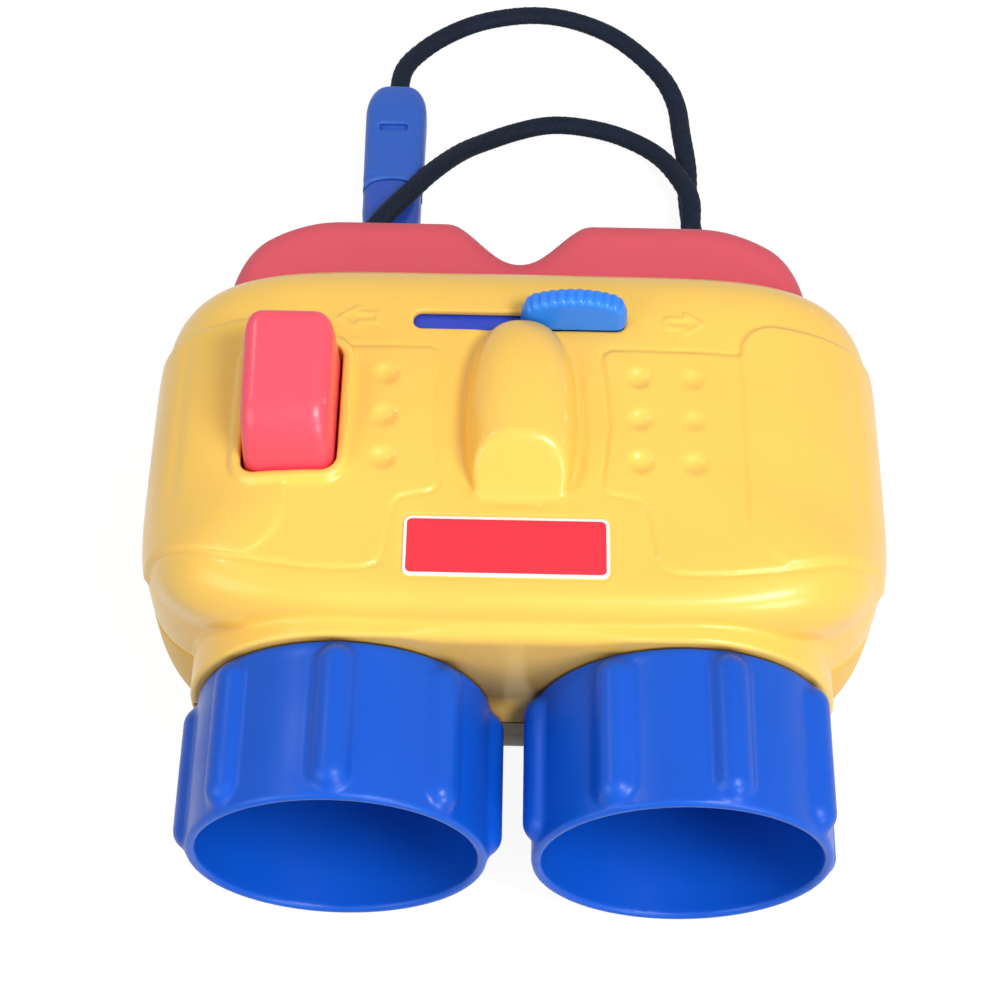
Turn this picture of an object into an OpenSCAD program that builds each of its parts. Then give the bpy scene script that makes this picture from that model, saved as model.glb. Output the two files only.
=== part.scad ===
// Toy binoculars: a moulded two-part housing with two ribbed turning rings, an eye guard,
// a viewing slide moved by a thumb knob, a sprung push button and a wrist strap with a clasp.
// The frame stands on z = 0 with +Z up, the rings point to -Y and the eye guard to +Y.

/* [Housing] */
// Width of the housing at the parting line
body_w = 136; // [135:0.5:142]
// Length of the housing from its front wall to its rear wall
slab_len = 77.7; // [76:0.1:82]
// Height of the housing top above the optical axes
top_h = 32.5; // [31.5:0.5:36]
// Height of the optical axes above the base
axis_h = 29; // [29:0.5:33]
// Wall thickness of the housing
wall = 2.2; // [1.8:0.1:2.6]
// Distance between the two optical axes
axis_gap = 60; // [59:0.5:62]
// Length of the barrel collar in front of the housing
barrel_len = 4.3; // [3.5:0.1:6]
// Step from a ring up to the barrel collar
collar_step = 1.6; // [1:0.1:2]
// Height of the raised panels and the button lip
relief_h = 0.8; // [0.5:0.1:1.2]

/* [Hump] */
// Width of the centre hump
hump_w = 18.7; // [16:0.1:20]
// Length of the centre hump
hump_len = 35; // [33:0.1:35.4]
// Distance from the centre hump to the viewing slide
hump_to_slide = 2.9; // [2.7:0.1:4]
// Height of the centre hump above the housing
hump_h = 8.5; // [6:0.1:9]
// Length of the hump's slanted front
facet_run = 5.4; // [3:0.1:8]

/* [Rings] */
// Outside diameter of a ring between its ribs
ring_d = 52.4; // [49:0.2:52.8]
// Length of a ring in front of its barrel
ring_len = 28.8; // [24:0.2:32]
// Wall thickness of a ring
ring_wall = 1.8; // [1.4:0.1:2.2]
// Number of ribs round a ring
rib_count = 8; // [6:1:10]
// Width of a rib
rib_w = 7.5; // [6:0.5:9]
// Height of a rib above the ring
rib_h = 2.5; // [1.5:0.1:2.7]
// Angle at which the left ring is turned
left_turn = 0; // [-22:1:22]
// Angle at which the right ring is turned
right_turn = 15; // [-22:1:22]

/* [Eye guard] */
// Distance from the side of the housing to the eye guard
guard_in = 11.25; // [10.75:0.25:14]
// Length of the eye guard behind the housing
guard_len = 15.8; // [14:0.1:17]
// Height of the eye guard above the optical axes
guard_rise = 20; // [18:0.5:22]
// Height of the eye guard's underside above the base
guard_base_h = 12; // [11.5:0.5:13]
// Wall thickness of the eye guard
guard_wall = 2.2; // [1.6:0.1:2.6]
// Radius of the eye guard's rear corners
guard_corner = 27; // [24:0.5:30]
// Depth of the nose notch
notch_depth = 9.6; // [7:0.1:10]
// Width of the nose notch
notch_w = 29; // [24:0.5:31]
// Diameter of an eye hole
eye_d = 22; // [18:0.5:24]

/* [Button] */
// Width of the push button
btn_w = 16.2; // [15:0.1:17]
// Length of the push button
btn_l = 26.2; // [24:0.1:27]
// Height of the push button above the housing
btn_h = 13.6; // [11:0.1:15]
// Travel of the push button
btn_travel = 5; // [3:0.1:5.5]
// Distance from the side of the housing to the button's middle
btn_in = 27.8; // [27:0.1:29]
// Distance from the button's middle to the viewing slide
btn_to_slide = 20.2; // [19.5:0.1:21]

/* [Viewing slide] */
// Room between the viewing slide and the side of the housing at the end of its travel
slide_room = 6; // [5.5:0.1:6.5]
// Thickness of the viewing slide
plate_t = 2.4; // [2.2:0.1:2.8]
// Width of the web between two windows of the viewing slide
window_web = 1.4; // [1.4:0.1:3]
// Distance from the rear of the housing to the viewing slide
slide_back = 18.5; // [18:0.1:19.5]
// Length of the thumb knob
knob_len = 19.5; // [18.5:0.1:22]
// Thickness of the thumb knob
knob_t = 4.6; // [4:0.1:6]
// Height of the thumb knob
knob_h = 8; // [6.5:0.1:9]
// Number of grip ridges on the thumb knob
ridge_count = 8; // [5:1:10]

/* [Strap] */
// Diameter of the strap cord
cord_d = 3.8; // [3:0.1:4]
// Width of the clasp
clasp_w = 13.6; // [12:0.1:15]
// Height of the clasp
clasp_h = 8.8; // [8:0.1:9]
// Length of the clasp's socket half
socket_len = 28; // [24:0.5:30]
// Length of the clasp's plug half
plug_len = 17; // [14:0.5:20]

/* [Hidden] */
// Facets of small round pieces
$fn = 48;
// Overrun of every cut
over = 1;
// Gap round pieces that seat without moving
seat_gap = 0.15;
// Gap round pieces that run
run_gap = 0.3;

// Places along Y, from the ring mouths to the eye guard
ring_gap = 0.4;
total_len = ring_len + ring_gap + barrel_len + slab_len + guard_len;
front_y = -total_len / 2;
ring_back_y = front_y + ring_len;
barrel_front_y = ring_back_y + ring_gap;
slab_front_y = barrel_front_y + barrel_len;
slab_rear_y = slab_front_y + slab_len;
guard_rear_y = slab_rear_y + guard_len;
mid_y = (slab_front_y + slab_rear_y) / 2;

// Housing form: powers of the plan outline at the front and rear, of the crown and of the edges
front_plan_power = 4.6;
rear_plan_power = 6;
crown_power = 3;
base_power = 4;
side_power = 4.8;
front_power = 27;
rear_power = 8;
// Depth by which the rounded base is cut flat
base_cut = 1.2;
// Points round the housing outline, and the heights of its rings
plan_steps = 72;
level_shares = [0, 0.3, 0.5, 0.65, 0.76, 0.85, 0.91, 0.955, 0.983];
crown_share = level_shares[len(level_shares) - 1];

// Ring, sleeve and barrel
ring_r = ring_d / 2;
barrel_r = ring_r + collar_step;
sleeve_step = 3.3;
sleeve_r = ring_r - sleeve_step;
sleeve_in_r = sleeve_r - ring_wall;
flange_out = 1.8;
flange_t = 2.5;
rib_r = rib_w / 2;
rib_front = 1.2;
stop_wall = 4;
mid_wall = 2;
lens_t = 1.6;
lens_ledge = 1;
bore_r = sleeve_r + run_gap;
groove_r = sleeve_r + flange_out + run_gap;
lens_r = bore_r + lens_ledge;
groove_len = flange_t + 2 * run_gap;
lens_slot_len = lens_t + 2 * seat_gap;
groove_y = barrel_front_y + stop_wall;
lens_slot_y = groove_y + groove_len + mid_wall;
boss_rear_y = lens_slot_y + lens_slot_len + mid_wall;

// Viewing slide and its rails: the travel is one window and one web, and the windows take what room there is
slide_y = slab_rear_y - slide_back;
plate_rim = 2.7;
window_r = (body_w / 2 - slide_room - axis_gap / 2 - window_web - plate_rim) / 3;
slide_travel = 2 * window_r + window_web;
slide_x = slide_travel / 2;
plate_half_h = window_r + plate_rim;
plate_half_l = axis_gap / 2 + slide_travel / 2 + plate_half_h;
rail_wall = 1.6;
rail_hold = 2;
rail_half = plate_t / 2 + run_gap + rail_wall;
rail_half_l = plate_half_l + slide_travel / 2 + run_gap;
slot_w = 3.4;
stem_gap = 0.8;
stem_l = knob_len - 2 * stem_gap;
slot_len = stem_l + slide_travel + 2 * run_gap;
neck_rim = 2;
tongue_l = 8;
tongue_t = 0.9;
tongue_h = 4;
knob_end_h = 5;
ridge_r = 0.55;
prism_rise = 1.4;
prism_top_share = 0.45;

// Eye guard and its seat
guard_w = body_w - 2 * guard_in;
guard_drop = axis_h - guard_base_h;
bulkhead_y = slide_y + plate_t / 2 + run_gap;
bulkhead_back = 6.6;
bulkhead_rear_y = slab_rear_y - bulkhead_back;
guard_front_y = slide_y + rail_half + run_gap;
guard_flange_in = 1.8;
guard_flange_t = 2;
guard_flange_out = 2;
guard_flange_y = guard_front_y + guard_flange_in;
guard_edge = 8;
guard_rear_edge = 4;
guard_crease = 0.4;
guard_side_crease = 3.6;
notch_steps = 12;
eye_r = eye_d / 2;
eye_lens_ledge = 1.2;
eye_lens_r = eye_r + eye_lens_ledge;
eye_tube_r = eye_lens_r + seat_gap + guard_wall;
cup_flare = 4;
cup_depth = 6;

// Button, its guide and its spring
btn_x = btn_in - body_w / 2;
btn_y = slide_y - btn_to_slide;
btn_corner = 2.5;
btn_draft = 0.9;
btn_wall = 1.8;
btn_front_run = 5.2;
btn_front_drop = 3.4;
btn_nose_r = 5;
btn_back_r = 1.8;
guide_wall = 1.6;
guide_depth = 5;
btn_flange_t = 1.5;
btn_flange_out = 1.3;
lip_w = 2.3;
post_r = 2.8;
post_sink = 0.3;
stake_r = 1.2;
cradle_t = 1.8;
cradle_w = 12;
spring_len = 12;
spring_r = 3;
spring_wire = 0.9;
spring_turns = 6;
spring_boss_r = 4.2;
spring_pin_h = 3;
spring_steps = 8;

// Grip panels, dimples and screws
panel_w = 27.6;
panel_front = 8;
panel_back = 18;
panel_corner = 11;
panel_base_h = 9;
dimple_d = 4.7;
dimple_depth = 1;
dimple_pitch = 9;
dimple_to_btn = 17.5;
dimple_step = 9.8;
dimple_to_slide = 21.5;
screw_in = 12.5;
screw_front = 16;
screw_to_slide = 7.35;
screw_x = body_w / 2 - screw_in;
screw_front_y = mid_y - screw_front;
screw_rear_y = slide_y - screw_to_slide;
screw_boss_r = 4;
screw_head_r = 2.9;
screw_head_h = 2;
screw_seat_z = 6;
screw_shank_r = 1.3;
screw_len = 32;
thread_gap = 0.05;

// Strap hole, knot and clasp
strap_x = 44;
strand_gap = 4;
knot_r = 2.8;
knot_half = 2;
knot_wall = 2;
strap_z = guard_base_h - guard_flange_out - run_gap - knot_r;
knot_y = bulkhead_y + knot_wall + run_gap + knot_r;
clasp_x = -28;
clasp_y = 89;
clasp_lift = 0.2;
clasp_wall = 1.6;
prong_len = 12;
prong_h = 3;
clasp_slot_w = 7;
clasp_slot_l = 2.6;
clasp_slot_y = 122;
cord_sides = 8;
// Route of the outer strand, from the knot to the socket half of the clasp
outer_route = [
    [46, 36, 7], [46, 46, 7], [46, 55, 5], [45, 65, 2], [43, 76, 2], [41, 86, 2], [39, 96, 2],
    [38, 106, 2], [38, 116, 2], [37, 126, 2], [36, 135, 2], [33, 143, 2], [27, 151, 2], [20, 157, 2],
    [11, 161, 2], [2, 162, 2], [-8, 160, 2], [-16, 156, 2], [-23, 150, 2], [-27, 143, 3], [-28, 134, 4]];
// Route of the inner strand, from the knot across the clasp to its plug half
inner_route = [
    [42, 36, 7], [42, 46, 7], [42, 55, 5], [41, 65, 3], [39, 76, 4], [38, 86, 5], [38, 96, 6],
    [38, 104, 6], [35, 112, 5], [31, 119, 3], [25, 124, 2], [17, 127, 2], [8, 128, 2], [0, 126, 2],
    [-7, 122, 3], [-13, 116, 6], [-19, 107, 10], [-24, 99, 12], [-30, 91, 12], [-36, 83, 9], [-41, 75, 4],
    [-44, 66, 2], [-42, 60, 2], [-36, 58, 2], [-30, 60, 2], [-28, 66, 3], [-28, 74, 4], [-28, 82, 4],
    [-28, 89, 4]];

// Power of the plan outline in front of the middle of the housing and behind it
function plan_power(y) = y < 0 ? front_plan_power : rear_plan_power;

// Share of the way from the centre of the housing to its outline at a place on the plan
function plan_share(x, y) =
    let (p = plan_power(y))
    pow(pow(abs(x) * 2 / body_w, p) + pow(abs(y) * 2 / slab_len, p), 1 / p);

// Power of the edge rounding: ends_share is 0 at the sides and 1 at the front and rear
function edge_power(ends_share, y) =
    side_power + ((y < 0 ? front_power : rear_power) - side_power) * ends_share;

// Height of the housing top above the optical axes
function roof_h(x, y) =
    let (s = plan_share(x, y - mid_y))
    let (ends_share = pow(abs(y - mid_y) * 2 / slab_len / s, plan_power(y - mid_y)))
    top_h * min(crown_share, pow(1 - pow(s, edge_power(ends_share, y - mid_y)), 1 / crown_power));

// One ring of points of the housing form at a share of its height
function form_ring(height, inset, power, level_share) = [
    for (i = [0 : plan_steps - 1])
        let (t = 360 * i / plan_steps, p = plan_power(sin(t)))
        let (s = pow(1 - pow(level_share, power), 1 / edge_power(pow(sin(t), 2), sin(t))))
        [s * (body_w / 2 - inset) * sign(cos(t)) * pow(abs(cos(t)), 2 / p),
         mid_y + s * (slab_len / 2 - inset) * sign(sin(t)) * pow(abs(sin(t)), 2 / p),
         level_share * (height - inset)]];

// Triangles between rings of points, with a flat cap at each end
function ring_faces(count, rings) = concat(
    [[for (i = [0 : count - 1]) i]],
    [for (k = [0 : rings - 2], i = [0 : count - 1])
        let (a = k * count + i, b = k * count + (i + 1) % count)
        [a, a + count, b + count]],
    [for (k = [0 : rings - 2], i = [0 : count - 1])
        let (a = k * count + i, b = k * count + (i + 1) % count)
        [a, b + count, b]],
    [[for (i = [count - 1 : -1 : 0]) (rings - 1) * count + i]]);

// Half of the housing form, rising from the parting plane, with a straight skirt below it
module half_form(height, inset, power, cut_share, skirt) {
    shares = [for (q = level_shares) q * cut_share];
    foot = [for (p = form_ring(height, inset, power, 0)) [p[0], p[1], -skirt]];
    body = [for (q = shares) each form_ring(height, inset, power, q)];
    points = skirt > 0 ? concat(foot, body) : body;
    polyhedron(points, ring_faces(plan_steps, len(points) / plan_steps));
}

module upper_form(inset, skirt) {
    translate([0, 0, axis_h]) half_form(top_h, inset, crown_power, 1, skirt);
}

module lower_form(inset, skirt) {
    depth = axis_h + base_cut;
    cut_share = axis_h / depth / crown_share;
    inner_share = (axis_h - inset) / (depth - inset) / crown_share;
    translate([0, 0, axis_h]) mirror([0, 0, 1])
        half_form(depth, inset, base_power, inset > 0 ? inner_share : cut_share, skirt);
}

// Rectangle with round corners, centred
module rounded_rect(w, h, r) {
    square([w - 2 * r, h], center = true);
    square([w, h - 2 * r], center = true);
    for (x = [-1, 1], y = [-1, 1]) translate([x * (w / 2 - r), y * (h / 2 - r)]) circle(r);
}

// Cylinder along +Y from a start
module y_cylinder(r, y, len) {
    translate([0, y, 0]) rotate([-90, 0, 0]) cylinder(r = r, h = len);
}

// Places a shape on both optical axes
module on_axes() {
    for (side = [-1, 1]) translate([side * axis_gap / 2, 0, axis_h]) children();
}

module upper_half() {
    translate([-body_w, -total_len, axis_h]) cube([2 * body_w, 2 * total_len, 2 * top_h]);
}

module lower_half() {
    translate([-body_w, -total_len, -axis_h]) cube([2 * body_w, 2 * total_len, 2 * axis_h]);
}

module barrels() {
    on_axes() y_cylinder(barrel_r, barrel_front_y, boss_rear_y - barrel_front_y);
}

// Collar of the upper shell that runs across both barrels and ends inside the front wall
module front_block() {
    block_share = 0.85;
    len = barrel_len + wall * block_share;
    translate([0, barrel_front_y + len, axis_h]) rotate([90, 0, 0]) linear_extrude(len) hull()
        for (side = [-1, 1]) translate([side * axis_gap / 2, 0]) circle(barrel_r);
}

// Bore, ring groove and lens slot of both barrels
module barrel_bores() {
    on_axes() {
        y_cylinder(bore_r, barrel_front_y - over, boss_rear_y - barrel_front_y + 2 * over);
        y_cylinder(groove_r, groove_y, groove_len);
        y_cylinder(lens_r + seat_gap, lens_slot_y, lens_slot_len);
    }
}

// Straight run of the guard's section along Y, grown or drawn in
module guard_run(y, len, grow) {
    translate([0, y + len, axis_h + (guard_rise - guard_drop) / 2]) rotate([90, 0, 0])
        linear_extrude(len)
            rounded_rect(guard_w + 2 * grow, guard_rise + guard_drop + 2 * grow, guard_edge + grow);
}

// Opening and flange groove that the guard seats in
module guard_seat() {
    guard_run(bulkhead_y - over, guard_rear_y - bulkhead_y, seat_gap);
    guard_run(guard_flange_y - seat_gap, guard_flange_t + 2 * seat_gap, guard_flange_out + seat_gap);
}

module bulkhead() {
    translate([-body_w / 2, bulkhead_y, 0])
        cube([body_w, bulkhead_rear_y - bulkhead_y, axis_h + top_h]);
}

// Two walls with the running groove of the viewing slide between them
module rails(z, h) {
    for (side = [-1, 1])
        translate([-rail_half_l, slide_y + side * (rail_half - rail_wall / 2) - rail_wall / 2, z])
            cube([2 * rail_half_l, rail_wall, h]);
}

// Places a shape on each screw axis
module on_screws() {
    for (x = [-screw_x, screw_x], y = [screw_front_y, screw_rear_y]) translate([x, y, 0]) children();
}

btn_roof_z = axis_h + roof_h(btn_x, btn_y);
guide_z = btn_roof_z - wall - guide_depth;
btn_flange_z = guide_z - run_gap - btn_flange_t;
cradle_z = btn_flange_z - btn_travel - run_gap;
spring_top_z = cradle_z + spring_len;
post_x = btn_w / 2 + run_gap + guide_wall + post_r - post_sink;

// Upright prism over the button's outline, grown all round
module btn_prism(grow, z, h) {
    translate([btn_x, btn_y, z]) linear_extrude(h)
        rounded_rect(btn_w + 2 * grow, btn_l + 2 * grow, btn_corner + grow);
}

module cradle_posts() {
    for (side = [-1, 1]) translate([btn_x + side * post_x, btn_y, cradle_z]) {
        cylinder(r = post_r, h = btn_roof_z - cradle_z);
        translate([0, 0, -cradle_t]) cylinder(r = stake_r, h = cradle_t + over);
    }
}

// Centre hump: a round-ended body of revolution along Y with a slanted front
module hump() {
    steps = 14;
    hump_r = hump_w / 2;
    wide_share = 0.36;
    nose_share = 0.8;
    tail_power = 4;
    slant = atan2(hump_h, facet_run);
    hump_y = slide_y - hump_to_slide - hump_len;
    wide_y = hump_y + hump_len * wide_share;
    tail = hump_y + hump_len - wide_y;
    tail_points = [
        for (i = [0 : steps]) let (t = 90 * i / steps)
        [hump_r * pow(cos(t), 2 / tail_power), tail * pow(sin(t), 2 / tail_power)]];
    nose_points = [[0, hump_y - wide_y], [hump_r * nose_share, hump_y - wide_y]];
    difference() {
        translate([0, wide_y, axis_h + roof_h(0, wide_y) + hump_h - hump_r]) rotate([-90, 0, 0])
            rotate_extrude() polygon(concat(nose_points, tail_points));
        translate([-hump_w, hump_y, axis_h + roof_h(0, hump_y)]) rotate([slant, 0, 0])
            cube([2 * hump_w, hump_len, hump_len]);
    }
}

// Outlines of the raised grip panels and of the button's lip
module relief_outlines() {
    panel_len = slab_len - panel_front - panel_back;
    panel_mid_y = slab_front_y + panel_front + panel_len / 2;
    for (side = [-1, 1]) translate([side * (3 * body_w / 4 - panel_w), panel_mid_y])
        rounded_rect(body_w / 2, panel_len, panel_corner);
    translate([btn_x, btn_y]) rounded_rect(btn_w + 2 * lip_w, btn_l + 2 * lip_w, btn_corner + lip_w);
}

module relief() {
    intersection() {
        upper_form(-relief_h, 0);
        translate([0, 0, axis_h + panel_base_h]) linear_extrude(top_h) relief_outlines();
    }
}

// Sunken round dimples: two columns on the right, one on the left
module dimples() {
    dimple_r = (pow(dimple_d / 2, 2) + pow(dimple_depth, 2)) / (2 * dimple_depth);
    dimple_x = -btn_x - dimple_to_btn;
    dimple_y = slide_y - dimple_to_slide;
    for (x = [-dimple_x, dimple_x, dimple_x + dimple_step], k = [-1 : 1])
        let (y = dimple_y + k * dimple_pitch)
        translate([x, y, axis_h + roof_h(x, y) + dimple_r - dimple_depth]) sphere(dimple_r);
}

module knob_slot() {
    translate([0, slide_y, axis_h + top_h / 2]) linear_extrude(top_h)
        rounded_rect(slot_len, slot_w, slot_w / 2 - seat_gap);
}

module upper_fittings() {
    barrels();
    bulkhead();
    rails(axis_h + plate_half_h - rail_hold, top_h);
    btn_prism(run_gap + guide_wall, guide_z, guide_depth + wall);
    cradle_posts();
    on_screws() translate([0, 0, axis_h - over]) cylinder(r = screw_boss_r, h = top_h);
}

module upper_shell() {
    color("gold") difference() {
        union() {
            upper_form(0, 0);
            intersection() {
                front_block();
                upper_half();
            }
            hump();
            relief();
        }
        difference() {
            upper_form(wall, over);
            upper_fittings();
        }
        barrel_bores();
        guard_seat();
        dimples();
        knob_slot();
        btn_prism(run_gap, guide_z - over, axis_h + top_h);
        on_screws() translate([0, 0, axis_h - over])
            cylinder(r = screw_shank_r + thread_gap, h = screw_seat_z + screw_len - axis_h + 2 * over);
    }
}

module lower_fittings() {
    barrels();
    bulkhead();
    rails(0, axis_h - plate_half_h + rail_hold);
    translate([-rail_half_l, slide_y - rail_half, 0])
        cube([2 * rail_half_l, 2 * rail_half, axis_h - plate_half_h - run_gap]);
    on_screws() cylinder(r = screw_boss_r, h = axis_h + over);
}

// Round-ended stopper that lies across the strap hole
module knot_form() {
    translate([strap_x - knot_half, knot_y, strap_z]) rotate([0, 90, 0]) {
        cylinder(r = knot_r, h = 2 * knot_half);
        sphere(knot_r);
        translate([0, 0, 2 * knot_half]) sphere(knot_r);
    }
}

// Pocket that the stopper drops into from the guard's opening
module knot_pocket() {
    pocket_r = knot_r + run_gap;
    pocket_w = 2 * (knot_half + pocket_r);
    translate([strap_x - pocket_w / 2, knot_y - pocket_r, strap_z - pocket_r])
        cube([pocket_w, 2 * pocket_r, guard_base_h - strap_z + pocket_r]);
}

module strap_hole() {
    hole_h = cord_d + 2 * run_gap;
    translate([strap_x, slab_rear_y + over, strap_z]) rotate([90, 0, 0])
        linear_extrude(slab_rear_y - knot_y)
            rounded_rect(strand_gap + hole_h, hole_h, hole_h / 2 - seat_gap);
}

module lower_shell() {
    color("gold") difference() {
        union() {
            lower_form(0, 0);
            intersection() {
                barrels();
                lower_half();
            }
        }
        difference() {
            lower_form(wall, over);
            lower_fittings();
        }
        barrel_bores();
        guard_seat();
        strap_hole();
        knot_pocket();
        on_screws() {
            translate([0, 0, -over]) cylinder(r = screw_head_r + run_gap, h = screw_seat_z + over);
            cylinder(r = screw_shank_r + seat_gap, h = axis_h + over);
        }
    }
}

// Plan of the eye guard with round rear corners, open towards the front
module guard_plan(grow) {
    r = guard_corner + grow;
    w = guard_w + 2 * (grow + guard_side_crease);
    rear = guard_rear_y + grow;
    translate([-w / 2, guard_front_y]) square([w, rear - r - guard_front_y]);
    translate([-w / 2 + r, guard_front_y]) square([w - 2 * r, rear - guard_front_y]);
    for (side = [-1, 1]) translate([side * (w / 2 - r), rear - r]) circle(r);
}

// Nose notch: a smooth hollow that runs out into the rear edge on both sides
module notch_plan(grow) {
    half_w = notch_w / 2 + grow;
    depth = notch_depth + guard_crease + grow;
    rear = guard_rear_y + guard_crease;
    polygon(concat(
        [for (i = [-notch_steps : notch_steps])
            [half_w * i / notch_steps, rear - depth * (1 + cos(180 * i / notch_steps)) / 2]],
        [[half_w, rear + over], [-half_w, rear + over]]));
}

// Side view of the guard with its rear edges rounded
module guard_profile(grow) {
    r = guard_rear_edge + grow;
    h = guard_rise + guard_drop + 2 * (grow + guard_crease);
    len = guard_rear_y - guard_front_y + grow;
    translate([-guard_w, guard_front_y, axis_h + (guard_rise - guard_drop) / 2])
        rotate([90, 0, 90]) linear_extrude(2 * guard_w) {
            translate([0, -h / 2]) square([len - r, h]);
            translate([0, -h / 2 + r]) square([len, h - 2 * r]);
            for (side = [-1, 1]) translate([len - r, side * (h / 2 - r)]) circle(r);
        }
}

module guard_form(grow) {
    intersection() {
        linear_extrude(axis_h + top_h) difference() {
            guard_plan(grow);
            notch_plan(-grow);
        }
        guard_run(guard_front_y, guard_rear_y - guard_front_y + over, grow);
        guard_profile(grow);
    }
}

module eye_guard() {
    tube_len = guard_rear_y - guard_front_y;
    color("indianred") difference() {
        union() {
            guard_form(0);
            difference() {
                guard_run(guard_flange_y, guard_flange_t, guard_flange_out);
                guard_run(guard_flange_y - over, guard_flange_t + 2 * over, -guard_wall);
            }
        }
        difference() {
            translate([0, -over, 0]) guard_form(-guard_wall);
            on_axes() y_cylinder(eye_tube_r, guard_front_y, tube_len);
        }
        on_axes() {
            y_cylinder(eye_r, guard_front_y - over, tube_len + 2 * over);
            y_cylinder(eye_lens_r + seat_gap, guard_front_y - over, lens_t + over);
            translate([0, guard_rear_y - cup_depth, 0]) rotate([-90, 0, 0])
                cylinder(r1 = eye_r, r2 = eye_r + cup_flare, h = cup_depth);
        }
    }
}

// One turning ring: a ribbed mouth, a sleeve in the barrel and a flange that keeps it there
module ring() {
    lip_r = ring_wall / 2;
    flange_y = groove_y + run_gap;
    rib_len = ring_len - rib_front - rib_w;
    rib_axis_r = ring_r + rib_h - rib_r;
    difference() {
        union() {
            rotate([-90, 0, 0]) rotate_extrude() {
                translate([ring_r - lip_r, front_y + lip_r]) circle(lip_r);
                translate([ring_r - ring_wall, front_y + lip_r]) square([ring_wall, ring_len - lip_r]);
                translate([sleeve_in_r, ring_back_y - ring_wall])
                    square([ring_r - sleeve_in_r - ring_wall / 2, ring_wall]);
                translate([sleeve_in_r, ring_back_y - ring_wall])
                    square([ring_wall, flange_y + flange_t - ring_back_y + ring_wall]);
                translate([sleeve_in_r, flange_y]) square([ring_wall + flange_out, flange_t]);
            }
            for (i = [0 : rib_count - 1]) rotate([0, 360 * i / rib_count, 0])
                translate([0, front_y + rib_front + rib_r, rib_axis_r]) {
                    y_cylinder(rib_r, 0, rib_len);
                    sphere(rib_r);
                    translate([0, rib_len, 0]) sphere(rib_r);
                }
        }
        y_cylinder(ring_r - ring_wall, front_y + lip_r, ring_len - lip_r - ring_wall);
        y_cylinder(sleeve_in_r, front_y, ring_len + stop_wall);
    }
}

module left_ring() {
    color("royalblue") translate([-axis_gap / 2, 0, axis_h]) rotate([0, left_turn, 0]) ring();
}

module right_ring() {
    color("royalblue") translate([axis_gap / 2, 0, axis_h]) rotate([0, right_turn, 0]) ring();
}

module objective_lens(side) {
    color("lightcyan") translate([side * axis_gap / 2, 0, axis_h])
        y_cylinder(lens_r, lens_slot_y + seat_gap, lens_t);
}

module eye_lens(side) {
    color("lightcyan") translate([side * axis_gap / 2, 0, axis_h])
        y_cylinder(eye_lens_r, guard_front_y, lens_t - seat_gap);
}

neck_top_z = axis_h + roof_h(0, slide_y) - wall - run_gap;

// Upright plate with a clear and a prism window for each eye and a neck up to the knob
module view_slide() {
    color("navy") difference() {
        union() {
            translate([slide_x, slide_y + plate_t / 2, axis_h]) rotate([90, 0, 0]) linear_extrude(plate_t)
                rounded_rect(2 * plate_half_l, 2 * plate_half_h, plate_half_h / 2);
            translate([slide_x - stem_l / 2 - neck_rim, slide_y - plate_t / 2, axis_h + plate_half_h - rail_hold])
                cube([stem_l + 2 * neck_rim, plate_t, neck_top_z - axis_h - plate_half_h + rail_hold]);
        }
        for (eye = [-1, 1], step = [-1, 1])
            translate([slide_x + eye * axis_gap / 2 + step * slide_travel / 2, 0, axis_h])
                y_cylinder(window_r, slide_y - plate_t, 2 * plate_t);
        translate([slide_x - tongue_l / 2 - seat_gap, slide_y - tongue_t / 2 - seat_gap, neck_top_z - tongue_h])
            cube([tongue_l + 2 * seat_gap, tongue_t + 2 * seat_gap, tongue_h + over]);
    }
}

// Thumb knob: a fin with an arched, ridged top, a stem through the slot and a tongue in the slide
module slider_knob() {
    knob_z = axis_h + roof_h(0, slide_y) + run_gap;
    rise = knob_h - knob_end_h;
    arch_r = (pow(knob_len / 2, 2) + pow(rise, 2)) / (2 * rise);
    arch_z = knob_h - arch_r;
    ridge_span = asin(knob_len / 2 / arch_r) * 2;
    color("dodgerblue") translate([slide_x, slide_y, 0]) {
        translate([0, knob_t / 2, knob_z]) rotate([90, 0, 0]) linear_extrude(knob_t) difference() {
            intersection() {
                translate([-knob_len / 2, 0]) square([knob_len, knob_h]);
                translate([0, arch_z]) circle(arch_r);
            }
            for (i = [1 : ridge_count])
                let (t = ridge_span * (i / (ridge_count + 1) - 1 / 2))
                translate([arch_r * sin(t), arch_z + arch_r * cos(t)]) circle(ridge_r);
        }
        translate([0, 0, neck_top_z]) linear_extrude(knob_z - neck_top_z)
            rounded_rect(stem_l, slot_w - 2 * run_gap, slot_w / 2 - seat_gap - run_gap);
        translate([-tongue_l / 2, -tongue_t / 2, neck_top_z - tongue_h + seat_gap])
            cube([tongue_l, tongue_t, tongue_h]);
    }
}

// Faceted lens in a window of the viewing slide
module prism(eye) {
    color("azure")
        translate([slide_x + eye * axis_gap / 2 + slide_travel / 2, slide_y + plate_t / 2, axis_h])
            rotate([90, 0, 0]) {
                cylinder(r = window_r - seat_gap, h = plate_t);
                translate([0, 0, plate_t])
                    cylinder(r1 = window_r - seat_gap, r2 = window_r * prism_top_share, h = prism_rise, $fn = 6);
            }
}

// Side view of the button drawn in by inset: a tall rear, a falling top and a rounded sloping front
module btn_side(inset, foot_z) {
    top_z = btn_roof_z + btn_h - inset;
    back = btn_l / 2 - inset;
    nose_r = btn_nose_r - inset;
    hull() {
        translate([-btn_l / 2 + inset, foot_z]) square([btn_l - 2 * inset, btn_roof_z - foot_z]);
        translate([back - btn_back_r, top_z - btn_back_r]) circle(btn_back_r);
        translate([-btn_l / 2 + inset + btn_front_run + nose_r / 2, top_z - btn_front_drop - nose_r])
            circle(nose_r);
    }
}

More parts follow.
